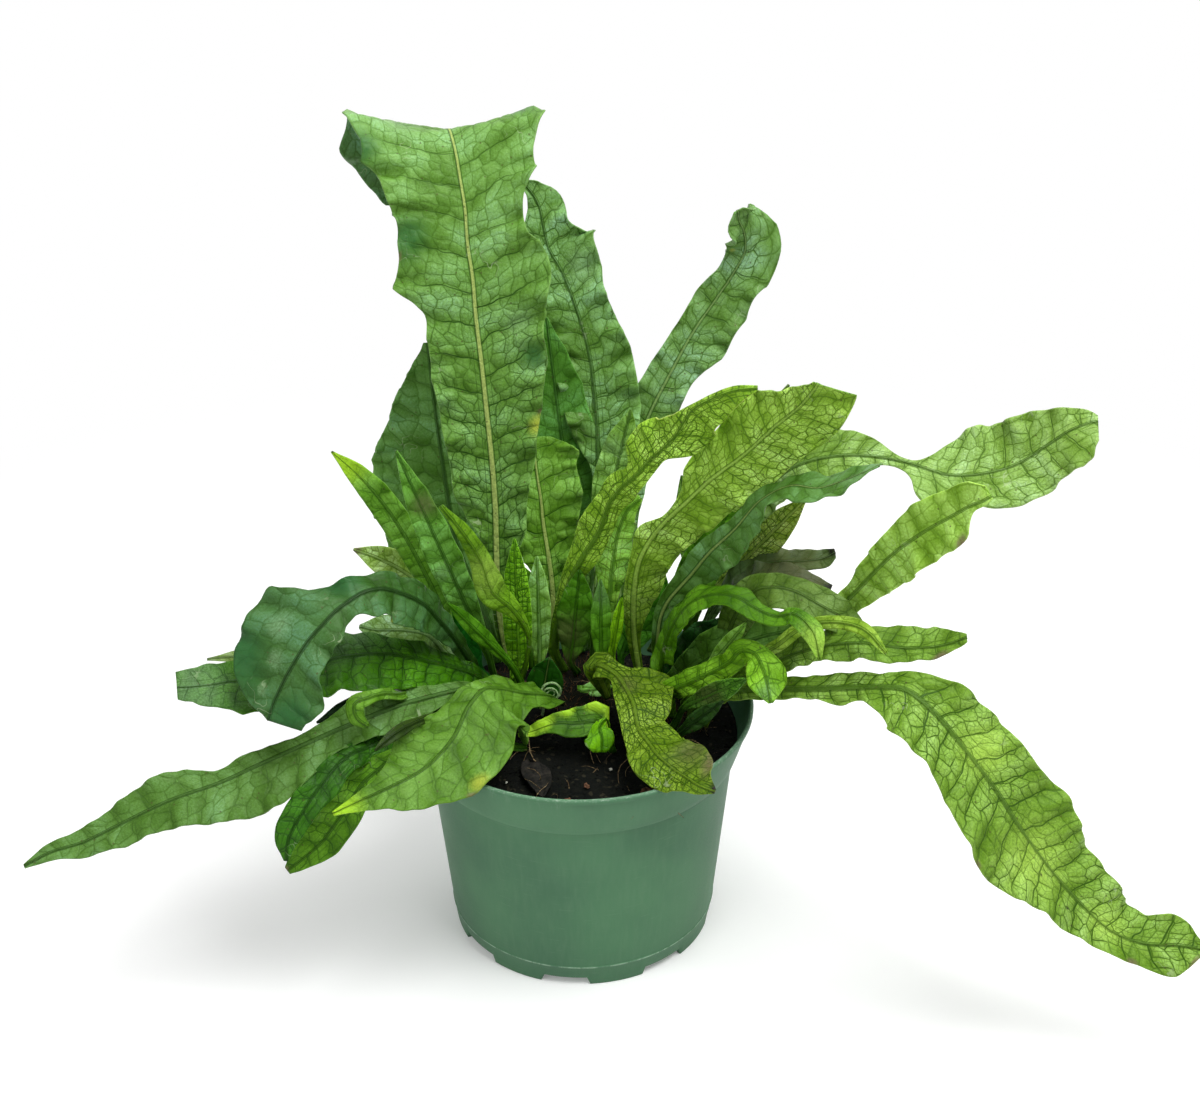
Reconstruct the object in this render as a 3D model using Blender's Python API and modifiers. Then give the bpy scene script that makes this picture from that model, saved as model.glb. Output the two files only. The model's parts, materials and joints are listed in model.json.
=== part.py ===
"""Potted crocodile fern: a plastic nursery pot, its soil, the creeping rhizomes and every frond.

Lengths are in millimetres until a mesh is made, where MM turns them into metres.
The origin is the centre of the pot's base, +Z is up and -Y is the plant's front.
"""
import math

import bmesh
import bpy
import numpy as np
from mathutils import Matrix

MM = 0.001
GAP = 0.3                # clearance between pieces that touch
FOOT_GAP = 0.7           # clearance under a stipe, whose cut foot is a little uneven
TURN_STEPS = 48          # facets round a turned piece
WELD = 0.00005           # metres

# Nursery pot
POT_HEIGHT = 120.7
LIP_RADIUS = 82.5
BAND_RADIUS = 75.1       # lower edge of the flared band under the lip
BAND_HEIGHT = 96.8
BODY_RADIUS = 73.5       # just under the band
STEP_RADIUS = 65.3       # fine step line above the foot
STEP_HEIGHT = 11.5
FOOT_RADIUS = 63.9
WALL = 1.5
FLOOR_UNDER = 2.6
FLOOR_TOP = 4.4
PAD_RADIUS = 14.0        # flat pad under the middle of the floor
NOTCHES = 8
NOTCH_START = -97.5      # degrees, the notch just left of the front
NOTCH_WIDTH = 24.0
NOTCH_HEIGHT = 4.0
DRAIN_RING = 46.0
DRAIN_RADIUS = 5.0

# Soil and rhizomes
SOIL_TOP = 106.0
SOIL_SHOULDER = 68.0     # the soil sinks a little outside this radius
SOIL_EDGE_DROP = 1.4
RHIZOME_THICKNESS = 3.7
RHIZOME_TOP = SOIL_TOP + GAP + RHIZOME_THICKNESS
RHIZOMES = {             # middle x, y and half sizes of each creeping patch
    "rhizome_left": (-44, 18, 17, 34),
    "rhizome_centre": (-1, 39, 23, 28),
    "rhizome_right": (44, 20, 20, 34),
}

# Fronds
RING_SPACING = 14.0      # along a blade
STIPE = 1.9              # half width where a frond leaves its rhizome
STIPE_THICKNESS = 2.0
MIDRIB_SHARE = 0.75      # of the stipe's thickness
MARGIN_SHARE = 0.38
WIDE_BLADE = 9.0         # half width past which a blade gets two columns a side

# The way that a blade's upper side faces
VIEW = (0, -0.88, 0.47)
BACK = (0, 0.88, -0.47)
LOW = (0, -0.65, 0.75)
HIGH = (0, -0.4, 0.9)
FLAT = (0, -0.3, 0.95)
SLOPE = (0, -0.5, 0.85)
STEEP = (0, -0.75, 0.65)

# Leaf colours
BRIGHT = (0.20, 0.42, 0.06)
MIDDLE = (0.09, 0.27, 0.06)
DARK = (0.03, 0.13, 0.06)
OLD = (0.16, 0.18, 0.09)

# Each frond: where its foot stands, then ribs (x, y, z, half width left, half width right)
# from the foot to the tip, with left and right as seen from the upper side, looking along it.
FRONDS = {
    "frond_tall_front": dict(
        foot=(-32, 34), colour=MIDDLE, cup=2,
        ribs=[(-38, 35, 133, 3, 3), (-40, 38, 168, 7, 6), (-40, 43, 196, 17, 10), (-41, 48, 226, 25, 21),
              (-44, 54, 255, 25, 26), (-47, 61, 286, 23, 31), (-48, 66, 306, 32, 38), (-50, 72, 324, 33, 31),
              (-52, 78, 340, 29, 27), (-54, 84, 353, 40, 28), (-56, 91, 362, 45, 38), (-58, 99, 366, 45, 42),
              (-60, 108, 363, 44, 40), (-62, 116, 350, 42, 34), (-64, 120, 325, 34, 28), (-65, 120, 288, 8, 6)],
        faces=[VIEW, VIEW, VIEW, VIEW, VIEW, (0, -0.8, 0.6), (0, 0.2, 0.98), (0, 0.98, 0.2), (0, 1, 0)]),
    "frond_tall_back": dict(
        foot=(2, 62), colour=MIDDLE, cup=4,
        ribs=[(5, 67, 136, 6, 6), (9, 76, 178, 10, 12), (9, 82, 204, 13, 14), (8, 89, 237, 16, 21),
              (4, 96, 263, 16, 19), (-1, 102, 282, 19, 17), (-8, 107, 295, 19, 18), (-14, 111, 308, 16, 21),
              (-15, 116, 322, 12, 14), (-20, 120, 331, 8, 10), (-28, 124, 334, 3, 3)],
        faces=[VIEW, VIEW, VIEW, VIEW, STEEP]),
    "frond_centre_upright": dict(
        foot=(-14, 50), colour=MIDDLE, cup=5,
        ribs=[(-14, 53, 136, 6, 5), (-15, 57, 166, 12, 11), (-17, 61, 186, 18, 16), (-19, 66, 211, 18, 18),
              (-20, 71, 235, 14, 13), (-19, 76, 254, 9, 9), (-16, 80, 267, 3, 3)],
        faces=[VIEW, VIEW]),
    "frond_back_left": dict(
        foot=(-42, 50), colour=DARK, cup=6,
        ribs=[(-46, 58, 128, 6, 6), (-54, 72, 141, 9, 8), (-63, 86, 161, 34, 16), (-67, 93, 186, 36, 16),
              (-70, 98, 212, 32, 16), (-72, 101, 233, 20, 12), (-73, 103, 250, 9, 7), (-74, 104, 262, 2, 2)],
        faces=[(-0.2, -0.85, 0.5), (-0.2, -0.85, 0.5)]),
    "frond_upright_right": dict(
        foot=(20, 58), colour=MIDDLE, cup=4,
        ribs=[(20, 73, 156, 6, 6), (27, 88, 205, 10, 10), (34, 94, 227, 13, 12), (43, 99, 243, 12, 15),
              (55, 104, 259, 11, 17), (67, 109, 276, 10, 17), (76, 112, 289, 9, 14), (81, 112, 304, 9, 16),
              (82, 109, 316, 10, 11), (80, 103, 325, 3, 5)],
        faces=[VIEW, VIEW, VIEW, (0.1, -0.7, 0.7)]),
    "frond_folded_light": dict(
        foot=(-8, 42), colour=BRIGHT, cup=8,
        ribs=[(-9, 38, 131, 4, 4), (-3, 34, 167, 5, 7), (6, 29, 188, 5, 9), (15, 21, 214, 7, 8),
              (26, 11, 237, 9, 7), (41, 1, 257, 12, 13), (50, -7, 270, 14, 8), (63, -15, 281, 9, 4),
              (76, -24, 289, 2, 2)],
        faces=[BACK, BACK]),
    "frond_rounded": dict(
        foot=(6, 54), colour=MIDDLE, cup=4,
        ribs=[(6, 54, 167, 5, 5), (10, 55, 200, 8, 9), (17, 56, 223, 10, 9), (22, 58, 242, 3, 3)],
        faces=[VIEW, VIEW]),
    "frond_broad_light": dict(
        foot=(29, 37), colour=BRIGHT, cup=5,
        ribs=[(27, 32, 143, 5, 5), (31, 27, 173, 10, 7), (40, 19, 202, 13, 8), (53, 9, 225, 16, 8),
              (69, -2, 246, 18, 15), (87, -14, 266, 15, 20), (98, -22, 278, 15, 15), (108, -29, 287, 12, 8),
              (118, -36, 289, 2, 2)],
        faces=[BACK, BACK]),
    "frond_dark_blue": dict(
        foot=(37, 27), colour=DARK, cup=4,
        ribs=[(32, 20, 141, 5, 5), (38, 14, 162, 8, 7), (51, 5, 184, 8, 8), (61, -4, 203, 8, 13),
              (72, -14, 222, 6, 10), (81, -21, 236, 4, 4), (92, -30, 247, 8, 7), (106, -40, 253, 5, 8),
              (114, -46, 260, 5, 5), (126, -55, 270, 2, 2)],
        faces=[VIEW, VIEW, SLOPE, (0, -0.2, 1)]),
    "frond_far_arch": dict(
        foot=(48, 47), colour=MIDDLE, cup=4,
        ribs=[(65, 34, 176, 5, 5), (82, 23, 214, 9, 9), (99, 13, 237, 12, 10), (118, 5, 246, 12, 9),
              (134, -1, 248, 6, 3), (146, -5, 246, 2, 3), (158, -10, 244, 8, 13), (168, -13, 245, 18, 15),
              (181, -16, 247, 21, 17), (193, -19, 254, 19, 18), (204, -22, 264, 17, 15),
              (214, -24, 270, 12, 15), (224, -26, 274, 3, 4)],
        faces=[(0, -0.6, 0.8), (0, -0.6, 0.8)]),
    "frond_right_strip": dict(
        foot=(57, 37), colour=BRIGHT, cup=12,
        ribs=[(75, 30, 134, 4, 4), (100, 10, 155, 6, 6), (115, 0, 168, 7, 8), (126, -10, 182, 9, 8),
              (136, -26, 205, 9, 8), (145, -38, 223, 9, 10), (156, -50, 241, 10, 9), (166, -58, 252, 9, 8),
              (173, -64, 262, 3, 2)],
        faces=[(-0.2, -0.8, 0.5), (-0.2, -0.8, 0.5)]),
    "frond_dark_tip_upper": dict(
        foot=(52, 42), colour=OLD, cup=6,
        ribs=[(69, 36, 156, 5, 5), (80, 29, 175, 6, 5), (91, 23, 185, 5, 6), (103, 17, 187, 3, 5),
              (111, 13, 192, 4, 4), (117, 10, 196, 2, 2)],
        faces=[SLOPE, SLOPE]),
    "frond_dark_tip_lower": dict(
        foot=(58, 31), colour=OLD, cup=6,
        ribs=[(70, 23, 155, 5, 5), (80, 12, 174, 6, 6), (91, 5, 182, 5, 5), (103, 1, 184, 5, 4),
              (114, -3, 184, 2, 3)],
        faces=[HIGH, HIGH]),
    "frond_right_grey_broad": dict(
        foot=(61, 23), colour=OLD, cup=4,
        ribs=[(72, 9, 147, 6, 6), (84, -6, 174, 9, 9), (97, -14, 182, 10, 9), (114, -22, 183, 8, 10),
              (132, -27, 178, 6, 7), (147, -30, 173, 2, 2)],
        faces=[HIGH, HIGH]),
    "frond_right_low_long": dict(
        foot=(62, 8), colour=MIDDLE, cup=4,
        ribs=[(73, -10, 136, 5, 5), (90, -22, 154, 8, 7), (107, -34, 169, 9, 8), (125, -47, 179, 9, 9),
              (145, -55, 181, 11, 7), (159, -62, 187, 8, 5), (167, -66, 193, 2, 2)],
        faces=[SLOPE, SLOPE]),
    "frond_right_droop": dict(
        foot=(52, 2), colour=BRIGHT, cup=4,
        ribs=[(62, -18, 133, 4, 4), (80, -32, 146, 5, 5), (94, -40, 151, 6, 5), (106, -48, 156, 7, 5),
              (118, -55, 161, 7, 8), (124, -58, 163, 7, 6), (132, -64, 167, 7, 11), (142, -70, 169, 10, 19),
              (153, -78, 163, 17, 19), (165, -84, 150, 21, 20), (179, -91, 133, 22, 24),
              (193, -96, 112, 27, 28), (209, -101, 91, 22, 18), (223, -105, 76, 19, 13),
              (234, -108, 66, 16, 10), (245, -110, 62, 13, 10), (255, -112, 62, 13, 14),
              (265, -114, 63, 11, 12), (273, -115, 62, 3, 3)],
        faces=[(0, -0.6, 0.8), (0, -0.6, 0.8), (0.25, -0.7, 0.65), (0.25, -0.7, 0.65)]),
    "frond_front_drape": dict(
        foot=(13, 17), colour=BRIGHT, cup=-5,
        ribs=[(11, 8, 131, 5, 5), (21, 0, 140, 12, 14), (26, -20, 140, 17, 12), (28, -32, 136, 9, 10),
              (31, -45, 133, 14, 11), (37, -60, 130, 17, 13), (45, -73, 128, 13, 10), (58, -82, 125, 2, 2)],
        faces=[FLAT, (0, -0.6, 0.8), (0, -0.7, 0.7)]),
    "frond_front_small_flat": dict(
        foot=(2, -14), seat="soil", colour=BRIGHT, cup=20,
        ribs=[(-3, -17, 113, 4, 4), (-12, -20, 120, 7, 6), (-21, -23, 121, 6, 5), (-28, -25, 118, 1.5, 1.5)],
        faces=[(0, -0.2, 1), (0, -0.2, 1)]),
    "frond_front_small_round": dict(
        foot=(15, -24), seat="soil", colour=BRIGHT, cup=5,
        ribs=[(9, -26, 118, 5, 5), (10, -29, 121, 7, 6), (9, -35, 115, 3, 3)],
        faces=[SLOPE, VIEW]),
    "frond_front_left_big": dict(
        foot=(-10, 12), colour=MIDDLE, cup=-3,
        ribs=[(-16, -6, 127, 4, 4), (-28, -16, 135, 8, 5), (-37, -22, 141, 23, 6), (-44, -29, 145, 25, 6),
              (-50, -39, 143, 24, 9), (-57, -54, 135, 25, 16), (-69, -67, 128, 19, 16), (-83, -78, 126, 11, 9),
              (-96, -84, 123, 5, 4), (-108, -88, 119, 1.5, 1.5)],
        faces=[FLAT, (0, -0.6, 0.8)]),
    "frond_left_long_low": dict(
        foot=(-36, -2), colour=MIDDLE, cup=5,
        ribs=[(-51, -15, 136, 6, 5), (-74, -27, 138, 8, 6), (-91, -37, 138, 12, 6), (-113, -48, 135, 12, 5),
              (-133, -57, 130, 18, 6), (-148, -64, 125, 18, 11), (-167, -71, 121, 15, 10),
              (-186, -77, 118, 12, 12), (-203, -82, 111, 12, 7), (-219, -86, 103, 7, 6),
              (-234, -89, 101, 4, 4), (-246, -91, 94, 1.5, 1.5)],
        faces=[LOW, LOW]),
    "frond_left_low_a": dict(
        foot=(-37, -13), colour=MIDDLE, cup=4,
        ribs=[(-54, -29, 125, 4, 4), (-75, -47, 129, 6, 6), (-99, -61, 126, 8, 8), (-114, -72, 117, 11, 9),
              (-125, -80, 105, 9, 9), (-130, -86, 91, 2, 2)],
        faces=[(-0.1, -0.65, 0.75), VIEW]),
    "frond_left_low_b": dict(
        foot=(-26, -20), seat="soil", colour=MIDDLE, cup=4,
        ribs=[(-42, -35, 123, 4, 4), (-60, -55, 129, 6, 6), (-78, -68, 121, 8, 8), (-89, -70, 115, 11, 9),
              (-108, -64, 96, 12, 10), (-121, -67, 82, 8, 8), (-133, -71, 72, 1.5, 1.5)],
        faces=[(-0.1, -0.5, 0.85), VIEW]),
    "frond_left_dark_curl": dict(
        foot=(-46, 22), colour=DARK, cup=-5,
        ribs=[(-58, 9, 148, 3, 3), (-71, -5, 176, 7, 8), (-83, -16, 190, 13, 9), (-97, -26, 194, 13, 13),
              (-107, -34, 194, 13, 17), (-115, -41, 188, 14, 31), (-121, -48, 181, 13, 34),
              (-127, -54, 173, 17, 33), (-132, -58, 162, 22, 25), (-134, -62, 154, 22, 12),
              (-131, -64, 148, 12, 8), (-125, -67, 143, 2, 2)],
        faces=[SLOPE, (0, -0.6, 0.8), (-0.2, -0.75, 0.65)]),
    "frond_left_mid_flat": dict(
        foot=(-42, 14), colour=MIDDLE, cup=8,
        ribs=[(-50, 7, 129, 5, 5), (-66, 0, 141, 8, 6), (-86, -11, 150, 10, 9), (-106, -21, 155, 11, 9),
              (-128, -30, 156, 10, 9), (-150, -38, 153, 9, 9), (-168, -43, 155, 9, 8), (-181, -46, 155, 3, 3)],
        faces=[SLOPE, SLOPE]),
    "frond_left_narrow_high": dict(
        foot=(-50, 35), colour=DARK, cup=12,
        ribs=[(-56, 32, 129, 5, 5), (-66, 25, 166, 6, 6), (-78, 20, 194, 9, 7), (-86, 16, 216, 8, 6),
              (-94, 12, 232, 6, 7), (-102, 9, 242, 7, 7), (-108, 6, 250, 2, 2)],
        faces=[VIEW, VIEW]),
    "frond_left_narrow_mid": dict(
        foot=(-42, 28), colour=DARK, cup=10,
        ribs=[(-46, 24, 128, 4, 5), (-53, 18, 154, 8, 7), (-60, 12, 185, 10, 8), (-67, 7, 209, 10, 9),
              (-73, 2, 232, 8, 8), (-77, -1, 248, 6, 6), (-79, -3, 256, 2, 2)],
        faces=[VIEW, VIEW]),
    "frond_left_twisted": dict(
        foot=(-31, 20), colour=BRIGHT, cup=-14,
        ribs=[(-33, 15, 126, 4, 4), (-34, 11, 145, 5, 6), (-35, 7, 165, 5, 8), (-39, 2, 182, 7, 8),
              (-47, -3, 200, 8, 6), (-54, -7, 216, 5, 3), (-60, -10, 228, 1, 1)],
        faces=[VIEW, VIEW]),
    "frond_centre_bumpy": dict(
        foot=(-22, 26), colour=MIDDLE, cup=6,
        ribs=[(-31, 22, 137, 4, 4), (-32, 18, 165, 5, 5), (-32, 16, 187, 5, 5), (-32, 15, 199, 2, 2)],
        faces=[VIEW, VIEW]),
    "frond_centre_grey": dict(
        foot=(-16, 34), colour=DARK, cup=8,
        ribs=[(-20, 29, 129, 5, 5), (-20, 26, 152, 7, 6), (-20, 24, 170, 6, 5), (-20, 23, 183, 2, 2)],
        faces=[VIEW, VIEW]),
    "frond_centre_brown": dict(
        foot=(-2, 40), colour=OLD, cup=6,
        ribs=[(-2, 36, 124, 6, 6), (-3, 33, 142, 10, 9), (-2, 31, 160, 8, 7), (-1, 30, 174, 2, 2)],
        faces=[VIEW, VIEW]),
    "frond_centre_pale": dict(
        foot=(10, 46), colour=MIDDLE, cup=8,
        ribs=[(11, 42, 125, 4, 4), (13, 38, 148, 6, 7), (15, 33, 173, 8, 9), (20, 28, 195, 7, 7),
              (26, 22, 214, 2, 2)],
        faces=[BACK, BACK]),
    "frond_centre_finger": dict(
        foot=(20, 28), colour=BRIGHT, cup=10,
        ribs=[(18, 24, 132, 2.5, 2.5), (21, 21, 149, 3, 3), (22, 19, 164, 1.2, 1.2)],
        faces=[VIEW, VIEW]),
    "frond_right_wavy": dict(
        foot=(42, 14), colour=BRIGHT, cup=-8,
        ribs=[(38, 5, 137, 4, 4), (47, -3, 162, 6, 6), (56, -11, 179, 7, 6), (69, -21, 188, 6, 8),
              (82, -32, 186, 4, 7), (92, -40, 190, 5, 6), (98, -46, 198, 4, 8), (103, -53, 193, 5, 8),
              (104, -62, 180, 3, 3)],
        faces=[FLAT, HIGH, FLAT, (0, -0.7, 0.7)]),
    "frond_right_grey": dict(
        foot=(50, 11), colour=OLD, cup=6,
        ribs=[(56, -3, 140, 5, 5), (69, -11, 158, 8, 7), (83, -22, 167, 5, 5), (94, -29, 178, 2, 2)],
        faces=[HIGH, HIGH]),
    "frond_right_finger": dict(
        foot=(59, -8), colour=BRIGHT, cup=-5,
        ribs=[(72, -20, 151, 2.5, 2.5), (88, -33, 169, 3, 3), (102, -39, 184, 5, 5), (112, -44, 189, 6, 6),
              (121, -51, 191, 3, 3), (127, -58, 191, 5, 5), (133, -65, 185, 2.5, 2.5)],
        faces=[HIGH, VIEW]),
    "frond_right_curl": dict(
        foot=(44, 0), colour=BRIGHT, cup=-8,
        ribs=[(46, -14, 135, 7, 6), (60, -24, 149, 8, 8), (72, -34, 167, 5, 8), (80, -44, 168, 9, 10),
              (83, -56, 158, 3, 3)],
        faces=[FLAT, SLOPE, VIEW]),
    "frond_right_shade": dict(
        foot=(29, 21), colour=DARK, cup=4,
        ribs=[(39, 18, 127, 5, 5), (52, 15, 141, 11, 9), (63, 13, 152, 9, 8), (70, 11, 160, 2, 2)],
        faces=[VIEW, VIEW]),
    "frond_right_old_low": dict(
        foot=(44, -9), colour=OLD, cup=20,
        ribs=[(48, -20, 126, 5, 5), (61, -30, 141, 7, 7), (75, -39, 149, 6, 7), (81, -43, 151, 2, 2)],
        faces=[FLAT, FLAT]),
    "frond_right_low_small": dict(
        foot=(32, -18), seat="soil", colour=BRIGHT, cup=10,
        ribs=[(45, -30, 124, 4, 4), (55, -37, 131, 5, 5), (63, -42, 139, 1.5, 1.5)],
        faces=[VIEW, VIEW]),
    "frond_front_teal_small": dict(
        foot=(0, 27), colour=DARK, cup=4,
        ribs=[(3, 25, 115, 4, 4), (9, 21, 120, 6, 6), (16, 18, 120, 2, 2)],
        faces=[VIEW, VIEW]),
    "frond_left_back_pointed": dict(
        foot=(-52, 43), colour=OLD, cup=4,
        ribs=[(-65, 36, 141, 6, 6), (-83, 26, 173, 11, 10), (-96, 20, 187, 8, 7), (-105, 16, 194, 1.5, 1.5)],
        faces=[VIEW, VIEW]),
    "frond_left_back_grey": dict(
        foot=(-55, 32), colour=OLD, cup=4,
        ribs=[(-64, 22, 134, 5, 5), (-76, 13, 147, 8, 8), (-89, 5, 158, 8, 8), (-101, 0, 164, 2, 2)],
        faces=[(0, -0.6, 0.8), (0, -0.6, 0.8)]),
    "frond_left_tip_small": dict(
        foot=(-54, 10), colour=BRIGHT, cup=-10,
        ribs=[(-71, 1, 128, 3, 3), (-88, -12, 137, 3, 3), (-98, -25, 145, 4, 4), (-104, -35, 147, 6, 5),
              (-97, -43, 142, 2, 2)],
        faces=[HIGH, VIEW]),
    "frond_lit_underside": dict(
        foot=(38, 52), colour=BRIGHT, cup=5,
        ribs=[(59, 48, 154, 6, 6), (80, 36, 181, 8, 8), (94, 24, 204, 10, 8), (102, 15, 217, 3, 3)],
        faces=[BACK, BACK]),
    "frond_left_far_tip": dict(
        foot=(-57, 24), colour=BRIGHT, cup=5,
        ribs=[(-84, 7, 136, 5, 5), (-130, -10, 153, 6, 6), (-154, -20, 160, 6, 6), (-168, -25, 160, 2, 2)],
        faces=[HIGH, HIGH]),
    "frond_left_shade": dict(
        foot=(-44, 4), colour=DARK, cup=5,
        ribs=[(-66, -8, 129, 5, 5), (-88, -20, 130, 8, 5), (-108, -32, 130, 9, 6), (-122, -40, 132, 2, 2)],
        faces=[LOW, LOW]),
}

# Small pieces on the soil: the leaf as ribs (x, y, half width left, half width right)
FIDDLEHEAD_FOOT = (-19, 9)
FIDDLEHEAD_HEIGHT = 13.0
FIDDLEHEAD_RADIUS = 4.6
FIDDLEHEAD_TURNS = 1.3
FIDDLEHEAD_TUBE = 0.85
DEAD_LEAF = [(-24, -33, 2, 2), (-23, -42, 6, 5), (-20, -52, 6, 7), (-17, -60, 2, 2)]


def clear_scene():
    for old in list(bpy.data.objects):
        bpy.data.objects.remove(old)


def new_collection(name):
    group = bpy.data.collections.new(name)
    bpy.context.scene.collection.children.link(group)
    return group


def make_material(name, colour, roughness):
    material = bpy.data.materials.new(name)
    material.use_nodes = True
    shader = material.node_tree.nodes["Principled BSDF"]
    shader.inputs["Base Color"].default_value = (*colour, 1)
    shader.inputs["Roughness"].default_value = roughness
    shader.inputs["Metallic"].default_value = 0.0
    return material


def add_object(group, name, data, colour, roughness):
    piece = bpy.data.objects.new(name, data)
    piece.data.materials.append(make_material(name, colour, roughness))
    group.objects.link(piece)
    return piece


def mesh_from(name, points, faces):
    mesh = bpy.data.meshes.new(name)
    mesh.from_pydata([tuple(MM * value for value in point) for point in points], [], faces)
    return mesh


def turned(group, name, profile, colour, roughness):
    """A profile of (radius, height) points, running down its outer side, turned about Z."""
    points = [(radius, 0, height) for radius, height in profile]
    mesh = bpy.data.meshes.new(name)
    edges = [(i, i + 1) for i in range(len(points) - 1)]
    mesh.from_pydata([tuple(MM * value for value in point) for point in points], edges, [])
    piece = add_object(group, name, mesh, colour, roughness)
    screw = piece.modifiers.new("turn", "SCREW")
    screw.steps = TURN_STEPS
    screw.render_steps = TURN_STEPS
    screw.use_merge_vertices = True
    screw.merge_threshold = WELD
    screw.use_smooth_shade = True
    return piece


def wall_radius(height):
    """Outer radius of the pot's wall at a height."""
    heights = [0, STEP_HEIGHT, BAND_HEIGHT, BAND_HEIGHT + 0.01, POT_HEIGHT]
    radii = [FOOT_RADIUS, STEP_RADIUS, BODY_RADIUS, BAND_RADIUS, LIP_RADIUS]
    return float(np.interp(height, heights, radii))


def pot_profile():
    under_lip = POT_HEIGHT - 2.4
    return [
        (0, FLOOR_TOP),
        (wall_radius(FLOOR_TOP) - WALL, FLOOR_TOP),
        (STEP_RADIUS - WALL, STEP_HEIGHT),
        (BODY_RADIUS - WALL, BAND_HEIGHT - 1.0),
        (BAND_RADIUS - WALL, BAND_HEIGHT + 0.6),
        (LIP_RADIUS - 2.0, POT_HEIGHT - 0.5),
        (LIP_RADIUS - 1.4, POT_HEIGHT),
        (LIP_RADIUS - 0.5, POT_HEIGHT),
        (LIP_RADIUS, POT_HEIGHT - 0.6),
        (LIP_RADIUS - 0.1, under_lip),
        (wall_radius(under_lip) - 0.5, under_lip - 0.6),
        (BAND_RADIUS, BAND_HEIGHT),
        (BODY_RADIUS, BAND_HEIGHT - 0.6),
        (STEP_RADIUS, STEP_HEIGHT),
        (STEP_RADIUS - 0.5, STEP_HEIGHT - 0.5),
        (FOOT_RADIUS, 0),
        (FOOT_RADIUS - 2.0, 0),
        (FOOT_RADIUS - 2.2, FLOOR_UNDER),
        (PAD_RADIUS + 1.5, FLOOR_UNDER),
        (PAD_RADIUS, 0),
        (0, 0),
    ]


def hide_cutter(cutter, cutters):
    for owner in list(cutter.users_collection):
        owner.objects.unlink(cutter)
    cutters.objects.link(cutter)
    cutter.hide_render = True
    cutter.display_type = "WIRE"


def cut(piece, cutter, name):
    boolean = piece.modifiers.new(name, "BOOLEAN")
    boolean.operation = "DIFFERENCE"
    boolean.solver = "EXACT"
    boolean.object = cutter


def ring_cutter(name, make_one, cutters):
    """One mesh holding a copy of a cutting shape at each notch's angle."""
    shape = bmesh.new()
    for number in range(NOTCHES):
        angle = math.radians(NOTCH_START + 360 / NOTCHES * number)
        fresh = make_one(shape)
        bmesh.ops.rotate(shape, verts=fresh, cent=(0, 0, 0), matrix=Matrix.Rotation(angle, 3, "Z"))
    mesh = bpy.data.meshes.new(name)
    shape.to_mesh(mesh)
    shape.free()
    cutter = bpy.data.objects.new(name, mesh)
    bpy.context.scene.collection.objects.link(cutter)
    hide_cutter(cutter, cutters)
    return cutter


def notch_shape(shape):
    fresh = bmesh.ops.create_cube(shape, size=1)["verts"]
    depth = 8.0
    for vert in fresh:
        vert.co.x = MM * (FOOT_RADIUS + vert.co.x * depth)
        vert.co.y = MM * vert.co.y * NOTCH_WIDTH
        vert.co.z = MM * (vert.co.z + 0.5) * 2 * NOTCH_HEIGHT - MM * NOTCH_HEIGHT
    return fresh


def drain_shape(shape):
    fresh = bmesh.ops.create_cone(
        shape, cap_ends=True, segments=12, radius1=MM * DRAIN_RADIUS, radius2=MM * DRAIN_RADIUS,
        depth=MM * 20)["verts"]
    bmesh.ops.translate(shape, verts=fresh, vec=(MM * DRAIN_RING, 0, 0))
    return fresh


def make_pot(group, cutters):
    pot = turned(group, "pot", pot_profile(), (0.10, 0.22, 0.14), 0.45)
    cut(pot, ring_cutter("foot_notches", notch_shape, cutters), "notches")
    cut(pot, ring_cutter("drain_holes", drain_shape, cutters), "drains")


def make_soil(group):
    edge_top = SOIL_TOP - SOIL_EDGE_DROP
    clear = WALL + 2 * GAP
    profile = [
        (0, SOIL_TOP),
        (SOIL_SHOULDER, SOIL_TOP),
        (wall_radius(edge_top) - clear, edge_top),
        (BAND_RADIUS - clear, BAND_HEIGHT + 0.6),
        (BODY_RADIUS - clear, BAND_HEIGHT - 1.0),
        (STEP_RADIUS - clear, STEP_HEIGHT),
        (wall_radius(FLOOR_TOP) - clear, FLOOR_TOP + GAP),
        (0, FLOOR_TOP + GAP),
    ]
    turned(group, "soil", profile, (0.012, 0.009, 0.007), 0.9)


def make_rhizomes(group):
    """Flat-topped patches of creeping rhizome, each an outline that stands on the soil."""
    for name, (middle_x, middle_y, half_x, half_y) in RHIZOMES.items():
        outline = []
        for number in range(20):
            angle = 2 * math.pi * number / 20
            x = middle_x + half_x * math.copysign(abs(math.cos(angle)) ** 0.75, math.cos(angle))
            y = middle_y + half_y * math.copysign(abs(math.sin(angle)) ** 0.75, math.sin(angle))
            shrink = min(1, 73.0 / math.hypot(x, y))
            outline.append((x * shrink, y * shrink))
        curve = bpy.data.curves.new(name, "CURVE")
        curve.dimensions = "2D"
        curve.fill_mode = "BOTH"
        curve.extrude = MM * RHIZOME_THICKNESS / 2
        spline = curve.splines.new("POLY")
        spline.points.add(len(outline) - 1)
        spline.use_cyclic_u = True
        for point, (x, y) in zip(spline.points, outline):
            point.co = (MM * x, MM * y, 0, 1)
        patch = add_object(group, name, curve, (0.06, 0.03, 0.015), 0.85)
        patch.location.z = MM * (RHIZOME_TOP - RHIZOME_THICKNESS / 2)


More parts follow.
